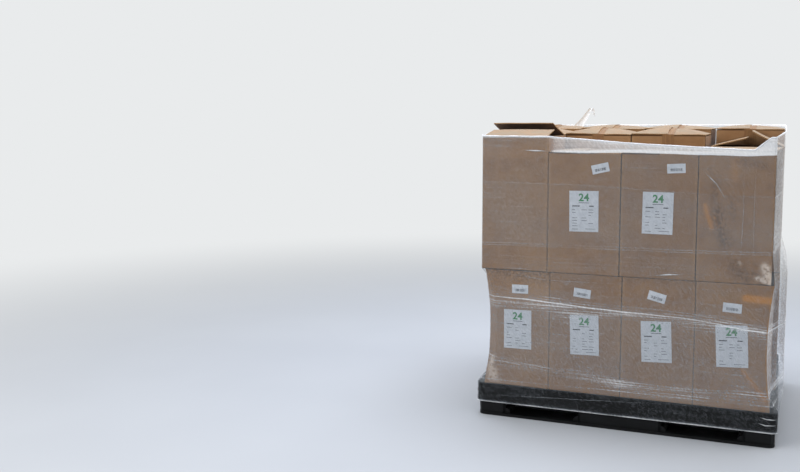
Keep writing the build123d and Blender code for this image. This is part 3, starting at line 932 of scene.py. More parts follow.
def way_round(low: Vector, high: Vector, radius: float, corner_steps: int, cell: float,
              least: int) -> list[Stand]:
    """Places round an upright box with rounded corners, from its front left one to the right.

    Args:
        low: Lowest corner of the box.
        high: Highest corner.
        radius: Radius of its corners.
        corner_steps: Places on each corner's arc.
        cell: Distance from place to place on a wall.
        least: Fewest places on a wall.

    Returns:
        The places, with the softness from 0 at a corner to 1 in mid wall, and the straight way to
        the next place, 0 on an arc.
    """
    centres = ((low.x + radius, low.y + radius), (high.x - radius, low.y + radius),
               (high.x - radius, high.y - radius), (low.x + radius, high.y - radius))
    stands = []
    for i, (x, y) in enumerate(centres):
        for step in range(corner_steps):
            angle = math.radians(180 + 90 * (i + step / corner_steps))
            out_x, out_y = math.cos(angle), math.sin(angle)
            stands.append(Stand(x + radius * out_x, y + radius * out_y, out_x, out_y, 0.0, 0.0))
        angle = math.radians(180 + 90 * (i + 1))
        out_x, out_y = math.cos(angle), math.sin(angle)
        next_x, next_y = centres[(i + 1) % 4]
        length = math.hypot(next_x - x, next_y - y)
        cells = max(least, round(length / cell))
        for step in range(cells):
            t = step / cells
            stands.append(Stand(
                x + radius * out_x + (next_x - x) * t, y + radius * out_y + (next_y - y) * t,
                out_x, out_y, min(1.0, 4 * t, 4 * (1 - t)), length / cells,
            ))
    return stands


@dataclass
class MeshParts:
    """Collects corners and faces of one piece, with the numbers that its materials read."""

    corners: list = field(default_factory=list)
    faces: list = field(default_factory=list)
    kinds: list = field(default_factory=list)
    wear: list = field(default_factory=list)
    tone: list = field(default_factory=list)
    gap: list = field(default_factory=list)

    def grid(self, rows: int, columns: int, place: Callable[[int, int], tuple], kind: int,
             closed: bool = False, wear: Callable[[int, int], float] | None = None, tone: float = 0.0,
             gap: Callable[[int, int], float] | None = None) -> list[list[int]]:
        """Adds a sheet of four-sided faces.

        Args:
            rows: Number of rows of corners.
            columns: Number of columns of corners.
            place: Gives the place of a row and column.
            kind: Number of its material.
            closed: Whether the last column joins the first.
            wear: Gives the wear at a row and column.
            tone: How dark the board is.
            gap: Gives how much painted shade a row and column gets in the gap between cartons.

        Returns:
            The numbers of the corners, row by row.
        """
        numbers = []
        for row in range(rows):
            line = []
            for column in range(columns):
                line.append(len(self.corners))
                self.corners.append(place(row, column))
                self.wear.append(wear(row, column) if wear else 0.0)
                self.tone.append(tone)
                self.gap.append(gap(row, column) if gap else 0.0)
            numbers.append(line)
        for under, over in zip(numbers, numbers[1:]):
            self.bridge(under, over, kind, closed)
        return numbers

    def bridge(self, first: Sequence[int], second: Sequence[int], kind: int, closed: bool = False) -> None:
        """Joins two lines of corners with faces.

        Args:
            first: Numbers along one line.
            second: Numbers along the other.
            kind: Number of the faces' material.
            closed: Whether the lines are rings.
        """
        count = len(first)
        for i in range(count if closed else count - 1):
            j = (i + 1) % count
            self.faces.append((first[i], first[j], second[j], second[i]))
            self.kinds.append(kind)

    def cap(self, ring: Sequence[int], kind: int) -> None:
        """Closes a ring with one face."""
        self.faces.append(tuple(ring))
        self.kinds.append(kind)

    def board(self, rows: int, columns: int, top: Callable[[float, float], Vector], thickness: float,
              face_kind: int, edge_kind: int, tone: float = 0.0, under_kind: int | None = None) -> None:
        """Adds a closed board from its upper face.

        Args:
            rows: Corners along its length.
            columns: Corners across its width.
            top: Place on the upper face for shares of the length and the width.
            thickness: Thickness of the board.
            face_kind: Material of its upper face.
            edge_kind: Material of its cut edges.
            tone: How dark the board is.
            under_kind: Material of its lower face, if another.
        """
        step = 0.01

        def upper(row: int, column: int) -> tuple:
            """Place on the upper face."""
            return tuple(top(row / (rows - 1), column / (columns - 1)))

        def lower(row: int, column: int) -> tuple:
            """Place on the lower face, square under the upper one.

            Args:
                row: Row of the corner.
                column: Its column.

            Returns:
                The place.
            """
            s, t = row / (rows - 1), column / (columns - 1)
            along = top(min(s + step, 1), t) - top(max(s - step, 0), t)
            across = top(s, min(t + step, 1)) - top(s, max(t - step, 0))
            return tuple(top(s, t) - along.cross(across).normalized() * thickness)

        def rubbed(row: int, column: int) -> float:
            """Wear at the board's edges."""
            return EDGE_WEAR if row in (0, rows - 1) or column in (0, columns - 1) else 0.0

        above = self.grid(rows, columns, upper, face_kind, wear=rubbed, tone=tone)
        below = self.grid(rows, columns, lower, face_kind if under_kind is None else under_kind, tone=tone)
        for end in (0, -1):
            self.bridge(above[end], below[end], edge_kind)
        for end in (0, -1):
            self.bridge([line[end] for line in above], [line[end] for line in below], edge_kind)

    def build(self, label: str, materials: Sequence[Material]) -> Object:
        """Makes the piece, with its doubles merged and its faces outwards.

        Args:
            label: Name of the piece.
            materials: Its materials, in the order of their numbers.

        Returns:
            The mesh object.
        """
        piece = mesh_object(label, self.corners, self.faces, materials, self.kinds)
        for name, values in (("wear", self.wear), ("tone", self.tone), ("gap", self.gap)):
            set_attribute(piece, name, values)
        bm = bmesh.new()
        bm.from_mesh(piece.data)
        bmesh.ops.remove_doubles(bm, verts=bm.verts, dist=NEW_DOUBLES)
        bmesh.ops.recalc_face_normals(bm, faces=bm.faces)
        bm.to_mesh(piece.data)
        bm.free()
        piece.data.set_sharp_from_angle(angle=SHARP_ANGLE)
        return piece


@dataclass
class BoardFinishes:
    """The materials that a carton is made of."""

    wall: Material
    edge: Material
    # Board of the inner faces and slits, drawn darker than the wall as painted shade
    inside: Material

    def all(self) -> list[Material]:
        """Materials in the order of a carton's face numbers."""
        return [self.wall, self.edge, self.inside]


WALL, EDGE, INSIDE = range(3)


@dataclass(frozen=True)
class Crease:
    """Fold or push in a carton's front, along a line from one place to another, in X and Z."""

    start: tuple[float, float]
    end: tuple[float, float]
    width: float
    depth: float

    def at(self, x: float, z: float) -> float:
        """Share of the crease's depth at a place.

        Args:
            x: Place along X.
            z: Height.

        Returns:
            From 0 far away to 1 on the line.
        """
        run = (self.end[0] - self.start[0], self.end[1] - self.start[1])
        away = (x - self.start[0], z - self.start[1])
        t = rise(away[0] * run[0] + away[1] * run[1], 0.0, run[0] ** 2 + run[1] ** 2)
        distance = math.hypot(away[0] - run[0] * t, away[1] - run[1] * t)
        return math.exp(-(distance / self.width) ** 2)


@dataclass(frozen=True)
class CartonMarks:
    """Marks on the front of one carton: pushes and warm stains left by handling, dark smeared patches of
    painted shade, and pale patches of ripped liner, partly painted highlight on lit facets.
    """

    creases: tuple[Crease, ...] = ()
    stains: tuple[Crease, ...] = ()
    shade_smears: tuple[Crease, ...] = ()
    tears_and_highlights: tuple[Crease, ...] = ()
    reach: float = 20 * MM

    def colour(self, piece: Object, low: Vector) -> None:
        """Writes the marks on a carton's front as attributes that its board reads.

        Args:
            piece: The carton.
            low: Its lowest corner, behind which the marks reach a little.
        """
        for name, marks in (("warm", self.stains), ("smear_shade", self.shade_smears), ("torn_and_highlight", self.tears_and_highlights)):
            if marks:
                set_attribute(piece, name, [
                    min(1.0, sum(mark.depth * mark.at(vertex.co.x, vertex.co.z) for mark in marks))
                    if vertex.co.y < low.y + self.reach else 0.0
                    for vertex in piece.data.vertices
                ])


@dataclass
class ClosedCarton:
    """Taped carton: four soft walls, two long flaps that meet in the middle, and slits under their ends."""

    node: str
    crown: float
    slit: float
    finishes: BoardFinishes
    seed: int
    marks: CartonMarks = CartonMarks()
    # Darker tone of a carton behind the film, a painted shade of the film over it
    age: float = 0.0
    board: float = 4 * MM
    fold_radius: float = 3.0 * MM
    corner: float = 3.2 * MM
    # Strength of the painted shade in the upright seams between the four columns, upper and lower layer
    upper_seams: tuple[float, ...] = (0.35, 1.0, 0.85)
    lower_seams: tuple[float, ...] = (0.45, 0.8, 0.5)
    corner_steps: int = 4
    cell: float = 12 * MM
    fine_cell: float = 5.5 * MM
    sag: float = 1.8 * MM
    meeting_gap: float = 2.5 * MM
    inset: float = 1.0 * MM
    lift: float = 2.6 * MM
    short_flap_inset: float = 7 * MM
    flap_rows: int = 28
    flap_columns: int = 12
    tone_spread: float = 0.12
    # Darkness of the upright sheets in the slits under the flaps, a painted shade
    slit_shade_tone: float = 0.6

    def build(self) -> Object:
        """Makes the carton in the space of its CAD node.

        Returns:
            The dressed piece.
        """
        low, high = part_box(self.node)
        parts = MeshParts()
        if self.marks.creases:
            self.cell = self.fine_cell
        tone = self.age + self.tone_spread * random.Random(self.seed).random()
        has_flaps = self.crown > 0
        flap_top = high.z - self.crown
        wall_top = flap_top - self.board - self.slit if has_flaps else high.z
        self._walls(parts, low, high, wall_top, tone)
        if has_flaps:
            self._flaps(parts, low, high, flap_top, tone)
        piece = parts.build(self.node + "_box", self.finishes.all())
        self.marks.colour(piece, low)
        return seat(piece, Slot.BOARD, self.node)

    def _seam_shade(self, out_x: float) -> float:
        """How dark the painted shade in the seam beside a wall is.

        Args:
            out_x: Which way the wall faces along X.

        Returns:
            From 0 at the load's ends to 1.
        """
        column = int(self.node[-1])
        seam = column - 1 if out_x > 0 else column - 2
        shades = self.upper_seams if self.node.startswith("upper") else self.lower_seams
        return shades[seam] if 0 <= seam < len(shades) else 0.0

    def _levels(self, low: float, top: float, folded_top: bool) -> list[tuple[float, float]]:
        """Heights of the walls' rows, with how far each is drawn in at a folded edge.

        Args:
            low: Height of the underside.
            top: Height of the upper edge.
            folded_top: Whether the upper edge is a fold.

        Returns:
            Pairs of a height and an inset.
        """
        radius = self.fold_radius
        fold = [(0.0, radius), (0.13 * radius, 0.5 * radius), (0.5 * radius, 0.13 * radius), (radius, 0.0)]
        levels = [(low + up, inset) for up, inset in fold]
        end = top - radius if folded_top else top
        steps = max(3, round((end - low - radius) / self.cell))
        levels += [(low + radius + (end - low - radius) * i / steps, 0.0) for i in range(1, steps + 1)]
        if folded_top:
            levels += [(top - down, inset) for down, inset in reversed(fold[:-1])]
        return levels

    def _walls(self, parts: MeshParts, low: Vector, high: Vector, top: float, tone: float) -> None:
        """Adds the four walls with the bottom, folded at their edges.

        Args:
            parts: The carton's mesh so far.
            low: Lowest corner.
            high: Highest corner.
            top: Height of the walls' upper edge.
            tone: How dark this carton is.
        """
        outline = way_round(low, high, self.corner, self.corner_steps, self.cell, 2)
        levels = self._levels(low.z, top, self.crown <= 0)

        def place(row: int, column: int) -> tuple:
            """Place of a corner on the walls, which bulge inwards between their folds.

            Args:
                row: Row of the corner.
                column: Its column.

            Returns:
                The place.
            """
            x, y, out_x, out_y, soft, _ = outline[column]
            z, inset = levels[row]
            t = (z - low.z) / (top - low.z)
            upright = min(1.0, 6 * t, 6 * (1 - t))
            wide = ripple(x, y, z, 120 * MM, self.seed)
            narrow = ripple(x, y, z, 38 * MM, self.seed)
            depth = inset + self.sag * soft * upright * max(0.0, 0.5 + 0.5 * wide + 0.3 * narrow)
            if out_y < -0.3:
                depth += sum(crease.depth * crease.at(x, z) for crease in self.marks.creases)
            return x - out_x * depth + pulled_in(x, y, z), y - out_y * depth, z

        def rubbed(row: int, column: int) -> float:
            """Wear along the upright edges."""
            folded_under = levels[row][1] > 0 or row == len(levels) - 1
            return EDGE_WEAR if outline[column].soft == 0.0 and not folded_under else 0.0

        def darkness(row: int, column: int) -> float:
            """How much painted shade a corner gets in the seams and folds.

            Args:
                row: Row of the corner.
                column: Its column.

            Returns:
                From 0 on a wall to 1 in a fold.
            """
            if levels[row][1] > 0.3 * self.fold_radius:
                return 1.0
            stand = outline[column]
            at_seam = stand.soft == 0.0 and abs(stand.out_x) > 0.45
            return self._seam_shade(stand.out_x) if at_seam else 0.0

        numbers = parts.grid(len(levels), len(outline), place, WALL, True, rubbed, tone, darkness)
        parts.cap(numbers[0], WALL)
        parts.cap(numbers[-1], INSIDE if self.crown > 0 else WALL)

    def _flaps(self, parts: MeshParts, low: Vector, high: Vector, top: float, tone: float) -> None:
        """Adds the two long flaps, crowned and a little lifted at their ends.

        Args:
            parts: The carton's mesh so far.
            low: Lowest corner.
            high: Highest corner.
            top: Height of the flaps' upper face along the walls.
            tone: How dark this carton is.
        """
        middle = (low + high) / 2
        half = (high - low) / 2
        wall_top = top - self.board - self.slit

        def vault(x: float, y: float) -> float:
            """Height of the flaps' upper face.

            Args:
                x: Place along X.
                y: Place along Y.

            Returns:
                The height.
            """
            across = 1 - ((x - middle.x) / half.x) ** 2
            along = 1 - ((y - middle.y) / half.y) ** 2
            lifted = self.lift * (1 - along) * ripple(x, y, 0, 80 * MM, self.seed + 0.5)
            height = self.crown * max(0.0, min(across, along)) + lifted * min(1.0, 6 * across)
            return top + max(height, -0.8 * self.slit)

        for side in (-1, 1):
            hinge = low.x if side < 0 else high.x
            free = middle.x + side * self.meeting_gap / 2

            def upper(s: float, t: float) -> Vector:
                """Place on a flap for shares of its length and width.

                Args:
                    s: Share of its length, from the front.
                    t: Share of its width, from its hinge.

                Returns:
                    The place.
                """
                y = low.y + self.inset + (high.y - low.y - 2 * self.inset) * s
                x = hinge + (free - hinge) * t
                return Vector((x, y, vault(x, y)))

            parts.board(self.flap_rows, self.flap_columns, upper, self.board, WALL, EDGE, tone=tone)
            for y in (low.y + self.short_flap_inset, high.y - self.short_flap_inset):

                def stop(row: int, column: int) -> tuple:
                    """Place on the short flap, an upright sheet darkened as painted shade in the slit under a
                    long one.

                    Args:
                        row: 0 for its foot and 1 for its head.
                        column: Column of the corner.

                    Returns:
                        The place.
                    """
                    x = hinge + (free - hinge) * (0.02 + 0.98 * column / (self.flap_columns - 1))
                    under = vault(x, y) - self.board / 2
                    return x, y, under if row else wall_top - 1 * MM

                parts.grid(2, self.flap_columns, stop, INSIDE, tone=self.slit_shade_tone)


@dataclass
class SoftenedCarton:
    """Open or dented carton: the CAD form cut finer and bent, its inner faces and cut edges told apart."""

    node: str
    finishes: BoardFinishes
    seed: int
    marks: CartonMarks = CartonMarks()
    cell: float = 22 * MM
    sag: float = 1.5 * MM
    swell_size: float = 110 * MM
    corner_stiffness: float = 60 * MM
    flap_warp: float = 5 * MM
    flap_hinge: float = 40 * MM
    flap_height: float = 62 * MM
    open_from: float = 1.15
    upper_from: float = 1.0
    fold: float = 3.6 * MM
    edge_width: float = 5 * MM
    # Board more than this below a carton's top is drawn darker all round, a painted shade deep inside the
    # open cartons
    unshaded_depth: float = 140 * MM
    deep_shade_tone: float = 0.3

    def build(self) -> Object:
        """Makes the carton from a copy of its CAD node.

        Returns:
            The dressed piece.
        """
        low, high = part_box(self.node)
        bm = bmesh.new()
        bm.from_mesh(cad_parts[self.node].data)
        bmesh.ops.remove_doubles(bm, verts=bm.verts, dist=CAD_DOUBLES)
        bmesh.ops.dissolve_limit(bm, angle_limit=math.radians(0.5), verts=bm.verts, edges=bm.edges)
        middle = (low + high) / 2
        for face in bm.faces:
            face.material_index = self._kind(face, middle)
        self._slice(bm, low, high)
        wall_top = high.z - self.flap_height if high.z > self.open_from else high.z
        for vertex in bm.verts:
            vertex.co += self._bend(vertex.co, low, high, wall_top)
        mesh = bpy.data.meshes.new(self.node + "_soft")
        bmesh.ops.recalc_face_normals(bm, faces=bm.faces)
        bm.to_mesh(mesh)
        bm.free()
        for material in self.finishes.all():
            mesh.materials.append(material)
        piece = put_in_scene(self.node + "_soft", mesh)
        places = [vertex.co for vertex in mesh.vertices]
        inner = high.z - self.unshaded_depth
        set_attribute(piece, "tone", [self.deep_shade_tone if place.z < inner else 0.0 for place in places])
        # Painted shade along the folded edges between the two layers
        set_attribute(piece, "gap", [1.0 if self._at_seam(place, low, high) else 0.0 for place in places])
        rubbed = [EDGE_WEAR if self._near_edge(place, low, high) else 0.0 for place in places]
        set_attribute(piece, "wear", rubbed)
        self.marks.colour(piece, low)
        return seat(piece, Slot.BOARD, self.node)

    def _kind(self, face: bmesh.types.BMFace, middle: Vector) -> int:
        """Which finish a face of the CAD form has.

        Args:
            face: A whole plane face.
            middle: Middle of the carton.

        Returns:
            Number of the finish.
        """
        longest = max(edge.calc_length() for edge in face.edges)
        if face.calc_area() / longest < self.edge_width and longest > 4 * self.edge_width:
            return EDGE
        centre = face.calc_center_median()
        inwards = face.normal.dot(middle - centre) > 0
        return INSIDE if inwards else WALL

    def _slice(self, bm: bmesh.types.BMesh, low: Vector, high: Vector) -> None:
        """Cuts the form by planes across all three axes.

        Args:
            bm: The form.
            low: Its lowest corner.
            high: Its highest corner.
        """
        for axis in range(3):
            cells = round((high[axis] - low[axis]) / self.cell)
            normal = Vector((0, 0, 0))
            normal[axis] = 1
            levels = [low[axis] + (high[axis] - low[axis]) * i / cells for i in range(1, cells)]
            if axis == 2:
                levels += [low.z + self.fold, high.z - self.fold]
            for level in levels:
                place = low.copy()
                place[axis] = level
                everything = bm.verts[:] + bm.edges[:] + bm.faces[:]
                bmesh.ops.bisect_plane(bm, geom=everything, plane_co=place, plane_no=normal, dist=0.05 * MM)

    def _bend(self, place: Vector, low: Vector, high: Vector, wall_top: float) -> Vector:
        """How far a corner of the form is moved.

        Args:
            place: Where it lies.
            low: The carton's lowest corner.
            high: Its highest corner.
            wall_top: Height above which flaps lie.

        Returns:
            The move.
        """
        if place.z > wall_top:
            warp = 0.5 + 0.5 * ripple(place.x, place.y, 0, self.swell_size, self.seed)
            raised = rise(place.z, wall_top, wall_top + self.flap_hinge)
            return Vector((0, 0, -self.flap_warp * raised * warp))
        centre = (low + high) / 2
        share_x = (place.x - centre.x) / (high.x - low.x) * 2
        share_y = (place.y - centre.y) / (high.y - low.y) * 2
        stiff = self.corner_stiffness
        upright = min(stiff, place.z - low.z, max(0.0, wall_top - place.z)) / stiff
        wave = max(0.0, 0.5 + 0.5 * ripple(place.x, place.y, place.z, self.swell_size, self.seed))
        swell = 0.8 * self.fold if self._at_seam(place, low, high) else wave * self.sag * upright
        drawn = pulled_in(place.x, place.y, place.z)
        if abs(share_x) > abs(share_y):
            return Vector((drawn - math.copysign(swell * (1 - share_y ** 2), share_x), 0, 0))
        return Vector((drawn, -math.copysign(swell * (1 - share_x ** 2), share_y), 0))

    def _at_seam(self, place: Vector, low: Vector, high: Vector) -> bool:
        """Whether a place lies on the folded edge between the two layers."""
        return place.z < low.z + 0.5 * MM or (high.z < self.upper_from and place.z > high.z - 0.5 * MM)

    def _near_edge(self, place: Vector, low: Vector, high: Vector) -> bool:
        """Whether a place lies at an upright edge of the carton."""
        return all(min(abs(place[i] - low[i]), abs(place[i] - high[i])) < self.edge_width for i in range(2))


@dataclass
class CartonStack:
    """All the cartons: two layers of four columns by three rows."""

    finishes: BoardFinishes
    marks: dict[str, CartonMarks]
    rows: tuple[str, ...] = ("front", "middle", "rear")
    columns: int = 4
    upper_crowns: tuple[float, ...] = (7 * MM, 26 * MM, 15 * MM)
    upper_slits: tuple[float, ...] = (0.6 * MM, 3.0 * MM, 2.0 * MM)
    softened: tuple[str, ...] = ("upper_carton_front_1", "upper_carton_middle_4", "lower_carton_front_1")
    # Darker tone of the lower layer and the upper front row, a painted shade of the film over them
    under_film_shade: float = 0.28

    def build(self) -> None:
        """Makes each carton."""
        seed = 0
        for layer in ("lower", "upper"):
            for row, row_name in enumerate(self.rows):
                for column in range(self.columns):
                    node = f"{layer}_carton_{row_name}_{column + 1}"
                    seed += 1
                    marks = self.marks.get(node, CartonMarks())
                    if node in self.softened:
                        SoftenedCarton(node, self.finishes, seed, marks).build()
                        continue
                    crown = self.upper_crowns[row] if layer == "upper" else 0.0
                    age = 0.0 if layer == "upper" and row else self.under_film_shade
                    ClosedCarton(node, crown, self.upper_slits[row], self.finishes, seed, marks, age).build()


@dataclass(frozen=True)
class Paper:
    """Where one label or sticker lies, which way it faces, and how large it is."""

    centre: Vector
    right: Vector
    up: Vector
    width: float
    height: float

    def at(self, across: float, down: float, lift: float) -> Vector:
        """Place just in front of the paper.

        Args:
            across: Share of the width, from the left side.
            down: Share of the height, from the top.
            lift: Distance from the paper.

        Returns:
            The place.
        """
        level = self.right * self.width * (across - 0.5)
        upwards = self.up * self.height * (0.5 - down)
        return self.centre + level + upwards + self.right.cross(self.up) * lift


@dataclass
class Papers:
    """White labels and small stickers, with plain numbers, ruled blocks and bars printed on them."""

    ink: Material
    grey_ink: Material
    green_ink: Material
    number: str = "24"
    number_height: float = 30 * MM
    digit_share: float = 0.7
    number_place: tuple[float, float] = (0.5, 0.17)
    boldness: float = 1.2 * MM
    print_lift: float = 0.12 * MM
    blocks: tuple[Shares, ...] = ((0.10, 0.385, 0.26, 0.026), (0.68, 0.385, 0.16, 0.026))
    row_count: int = 7
    row_starts: tuple[float, ...] = (0.10, 0.42, 0.66)
    row_top: float = 0.47
    row_pitch: float = 0.066
    row_thickness: float = 0.013
    row_chance: float = 0.62
    bars: Shares = (0.19, 0.63, 0.62, 0.3)

    def build(self, paper: Material) -> None:
        """Dresses the papers and prints them.

        Args:
            paper: Material of the bare paper.
        """
        for node in ("shipping_labels", "barcode_stickers"):
            dress(node, paper)
        self._print_labels()
        self._print_stickers()

    @staticmethod
    def _papers(node: str) -> list[Paper]:
        """The papers of a node.

        Args:
            node: The node that holds them.

        Returns:
            The place and size of each, read off its front face.
        """
        papers = []
        for corners in islands(node):
            front_y = min(c.y for c in corners)
            face = [c for c in corners if c.y < front_y + 0.05 * MM]
            centre = sum(face, Vector()) / len(face)
            face.sort(key=lambda c: math.atan2(c.z - centre.z, c.x - centre.x))
            right, up = face[1] - face[0], face[2] - face[1]
            papers.append(Paper(centre, right.normalized(), up.normalized(), right.length, up.length))
        return papers

    def _print_labels(self) -> None:
        """Prints the large labels: a green number, two bold blocks and rows of small marks."""
        for ink, name in ((self.green_ink, "label_numbers"), (self.ink, "label_blocks"),
                          (self.grey_ink, "label_rows")):
            parts = MeshParts()
            for index, paper in enumerate(self._papers("shipping_labels")):
                if ink == self.green_ink:
                    self._number(parts, paper)
                else:
                    self._marks(parts, paper, self.blocks if ink == self.ink else self._rows(index))
            seat(parts.build(name, [ink]), Slot.PAPER)

    def _rows(self, index: int) -> list[Shares]:
        """Ruled marks of one label, with a single one over and two under rows of uneven ones.

        Args:
            index: Which label.

        Returns:
            For each mark its left side, its distance from the top, its length and its height.
        """
        draw = random.Random(40 + index)
        marks = [(0.32, 0.30, 0.36, 0.016)]
        for row in range(self.row_count):
            for left in self.row_starts:
                if draw.random() < self.row_chance:
                    top = self.row_top + self.row_pitch * row
                    marks.append((left, top, 0.07 + 0.13 * draw.random(), self.row_thickness))
        return marks + [(0.10, 0.945, 0.2, 0.012), (0.55, 0.935, 0.35, 0.012)]

    def _marks(self, parts: MeshParts, paper: Paper, marks: Iterable[Shares]) -> None:
        """Adds thin printed rectangles.

        Args:
            parts: The print's mesh so far.
            paper: The paper.
            marks: Left side, distance from the top, length and height of each mark, as shares.
        """
        for left, drop, length, thick in marks:
            corner = paper.at(left, drop, self.print_lift)
            span, upwards = paper.right * paper.width * length, paper.up * paper.height * thick
            parts.grid(2, 7, lambda row, column: tuple(corner + span * column / 6 + upwards * row), 0)

    def _number(self, parts: MeshParts, paper: Paper) -> None:
        """Adds the plain number of a label.

        Args:
            parts: The print's mesh so far.
            paper: The label.
        """
        text = bpy.data.curves.new("number", "FONT")
        text.body = self.number
        text.size = self.number_height / self.digit_share
        text.align_x = "CENTER"
        text.align_y = "CENTER"
        text.offset = self.boldness
        holder = put_in_scene("number", text)
        mesh = bpy.data.meshes.new_from_object(holder)
        centre = paper.at(*self.number_place, self.print_lift)
        first = len(parts.corners)
        for vertex in mesh.vertices:
            parts.corners.append(tuple(centre + paper.right * vertex.co.x + paper.up * vertex.co.y))
            for numbers in (parts.wear, parts.tone, parts.gap):
                numbers.append(0.0)
        for polygon in mesh.polygons:
            parts.faces.append(tuple(first + i for i in polygon.vertices))
            parts.kinds.append(0)
        bpy.data.objects.remove(holder)
        bpy.data.curves.remove(text)
        bpy.data.meshes.remove(mesh)

    def _print_stickers(self) -> None:
        """Prints the bars of the small stickers."""
        left, drop, length, height = self.bars
        for index, paper in enumerate(self._papers("barcode_stickers")):
            mesh = BarRow(index + 1, paper.width * length, paper.height * height).build(self.ink)
            turn = Matrix((paper.right, -paper.right.cross(paper.up), paper.up)).transposed().to_4x4()
            mesh.transform(Matrix.Translation(paper.at(left, drop, self.print_lift)) @ turn)
            seat(put_in_scene(f"sticker_bars_{index + 1}", mesh), Slot.PAPER)


@dataclass
class BarRow:
    """Row of upright printed bars of uneven width, made by Geometry Nodes."""

    seed: int
    length: float
    height: float
    pitch: float = 1.5 * MM
    thick: float = 1.3 * MM

    def build(self, ink: Material) -> Mesh:
        """Makes the bars as a plain mesh in the XZ plane, from the origin along X.

        Args:
            ink: Material of the print.

        Returns:
            The mesh, with all its instances realized.
        """
        tree = self._tree(ink)
        mesh = bpy.data.meshes.new("bars")
        holder = put_in_scene("bars", mesh)
        modifier = holder.modifiers.new("bars", "NODES")
        modifier.node_group = tree
        values = {"Length": self.length, "Height": self.height, "Pitch": self.pitch, "Width": self.thick,
                  "Seed": self.seed}
        for item in tree.interface.items_tree:
            if item.name in values and item.in_out == "INPUT":
                modifier[item.identifier] = values[item.name]
        graph = bpy.context.evaluated_depsgraph_get()
        result = bpy.data.meshes.new_from_object(holder.evaluated_get(graph), depsgraph=graph)
        bpy.data.objects.remove(holder)
        bpy.data.meshes.remove(mesh)
        return result

    @staticmethod
    def _tree(ink: Material) -> NodeTree:
        """Node tree of the bars.

        Args:
            ink: Material of the print.

        Returns:
            A tree with inputs for the row's length, height, pitch, bar width and seed.
        """
        tree = bpy.data.node_groups.new("barcode_bars", "GeometryNodeTree")
        for name, kind in (("Length", "Float"), ("Height", "Float"), ("Pitch", "Float"), ("Width", "Float"),
                           ("Seed", "Int")):
            tree.interface.new_socket(name, in_out="INPUT", socket_type=f"NodeSocket{kind}")
        tree.interface.new_socket("Geometry", in_out="OUTPUT", socket_type="NodeSocketGeometry")
        given = add_node(tree, "NodeGroupInput").outputs
        count = Step.DIVIDE(tree, given["Length"], given["Pitch"])
        end = add_node(tree, "ShaderNodeCombineXYZ", {0: given["Length"]}).outputs[0]
        line = add_node(tree, "GeometryNodeMeshLine", {"Count": count, "Offset": end}, mode="END_POINTS")
        bar = add_node(tree, "GeometryNodeMeshGrid", {
            "Size X": given["Width"], "Size Y": given["Height"], "Vertices X": 2, "Vertices Y": 3,
        })
        upright = add_node(tree, "GeometryNodeTransform", {
            "Geometry": bar.outputs[0], "Rotation": (math.radians(90), 0.0, 0.0),
        })
        chance = add_node(tree, "FunctionNodeRandomValue", {
            2: 0.15, 3: 1.0, "Seed": given["Seed"],
        }, data_type="FLOAT").outputs[1]
        size = add_node(tree, "ShaderNodeCombineXYZ", {0: chance, 1: 1.0, 2: 1.0}).outputs[0]
        bars = add_node(tree, "GeometryNodeInstanceOnPoints", {
            "Points": line.outputs[0], "Instance": upright.outputs[0], "Scale": size,
        })
        whole = add_node(tree, "GeometryNodeRealizeInstances", {0: bars.outputs[0]})
        inked = add_node(tree, "GeometryNodeSetMaterial", {"Geometry": whole.outputs[0], "Material": ink})
        add_node(tree, "NodeGroupOutput", {0: inked.outputs[0]})
        return tree


@dataclass(frozen=True)
class FilmFold:
    """Fold of film that stands up a little, through places given as distance round the load and height."""

    places: tuple[tuple[float, float], ...]
    width: float
    height: float
    cover: float


@dataclass
class SheetParts:
    """Corners and faces of the film, with the place of each on the wrap and its extra cover."""

    corners: list = field(default_factory=list)
    faces: list = field(default_factory=list)
    chart: list = field(default_factory=list)
    gather: list = field(default_factory=list)
    loose: list = field(default_factory=list)

    def add(self, place: Vector, along: float, height: float, cover: float, loose: float = 0.0) -> None:
        """Adds one corner, with its place on the wrap, its extra cover and its part in the free band.

        Args:
            place: Where it lies.
            along: Distance round the load.
            height: Height on the wrap.
            cover: Extra cover.
            loose: Cover that the free band has there.
        """
        self.corners.append(place)
        self.chart.append((along, height))
        self.gather.append(cover)
        self.loose.append(loose)

    def strip(self, start: int, rows: int, columns: int, closed: bool = False) -> None:
        """Adds the faces of a grid of corners.

        Args:
            start: Number of its first corner.
            rows: Rows of corners.
            columns: Columns of corners.
            closed: Whether the last column joins the first.
        """
        for row in range(rows - 1):
            for column in range(columns if closed else columns - 1):
                after = (column + 1) % columns
                under = start + row * columns
                over = under + columns
                self.faces.append((under + column, under + after, over + after, over + column))


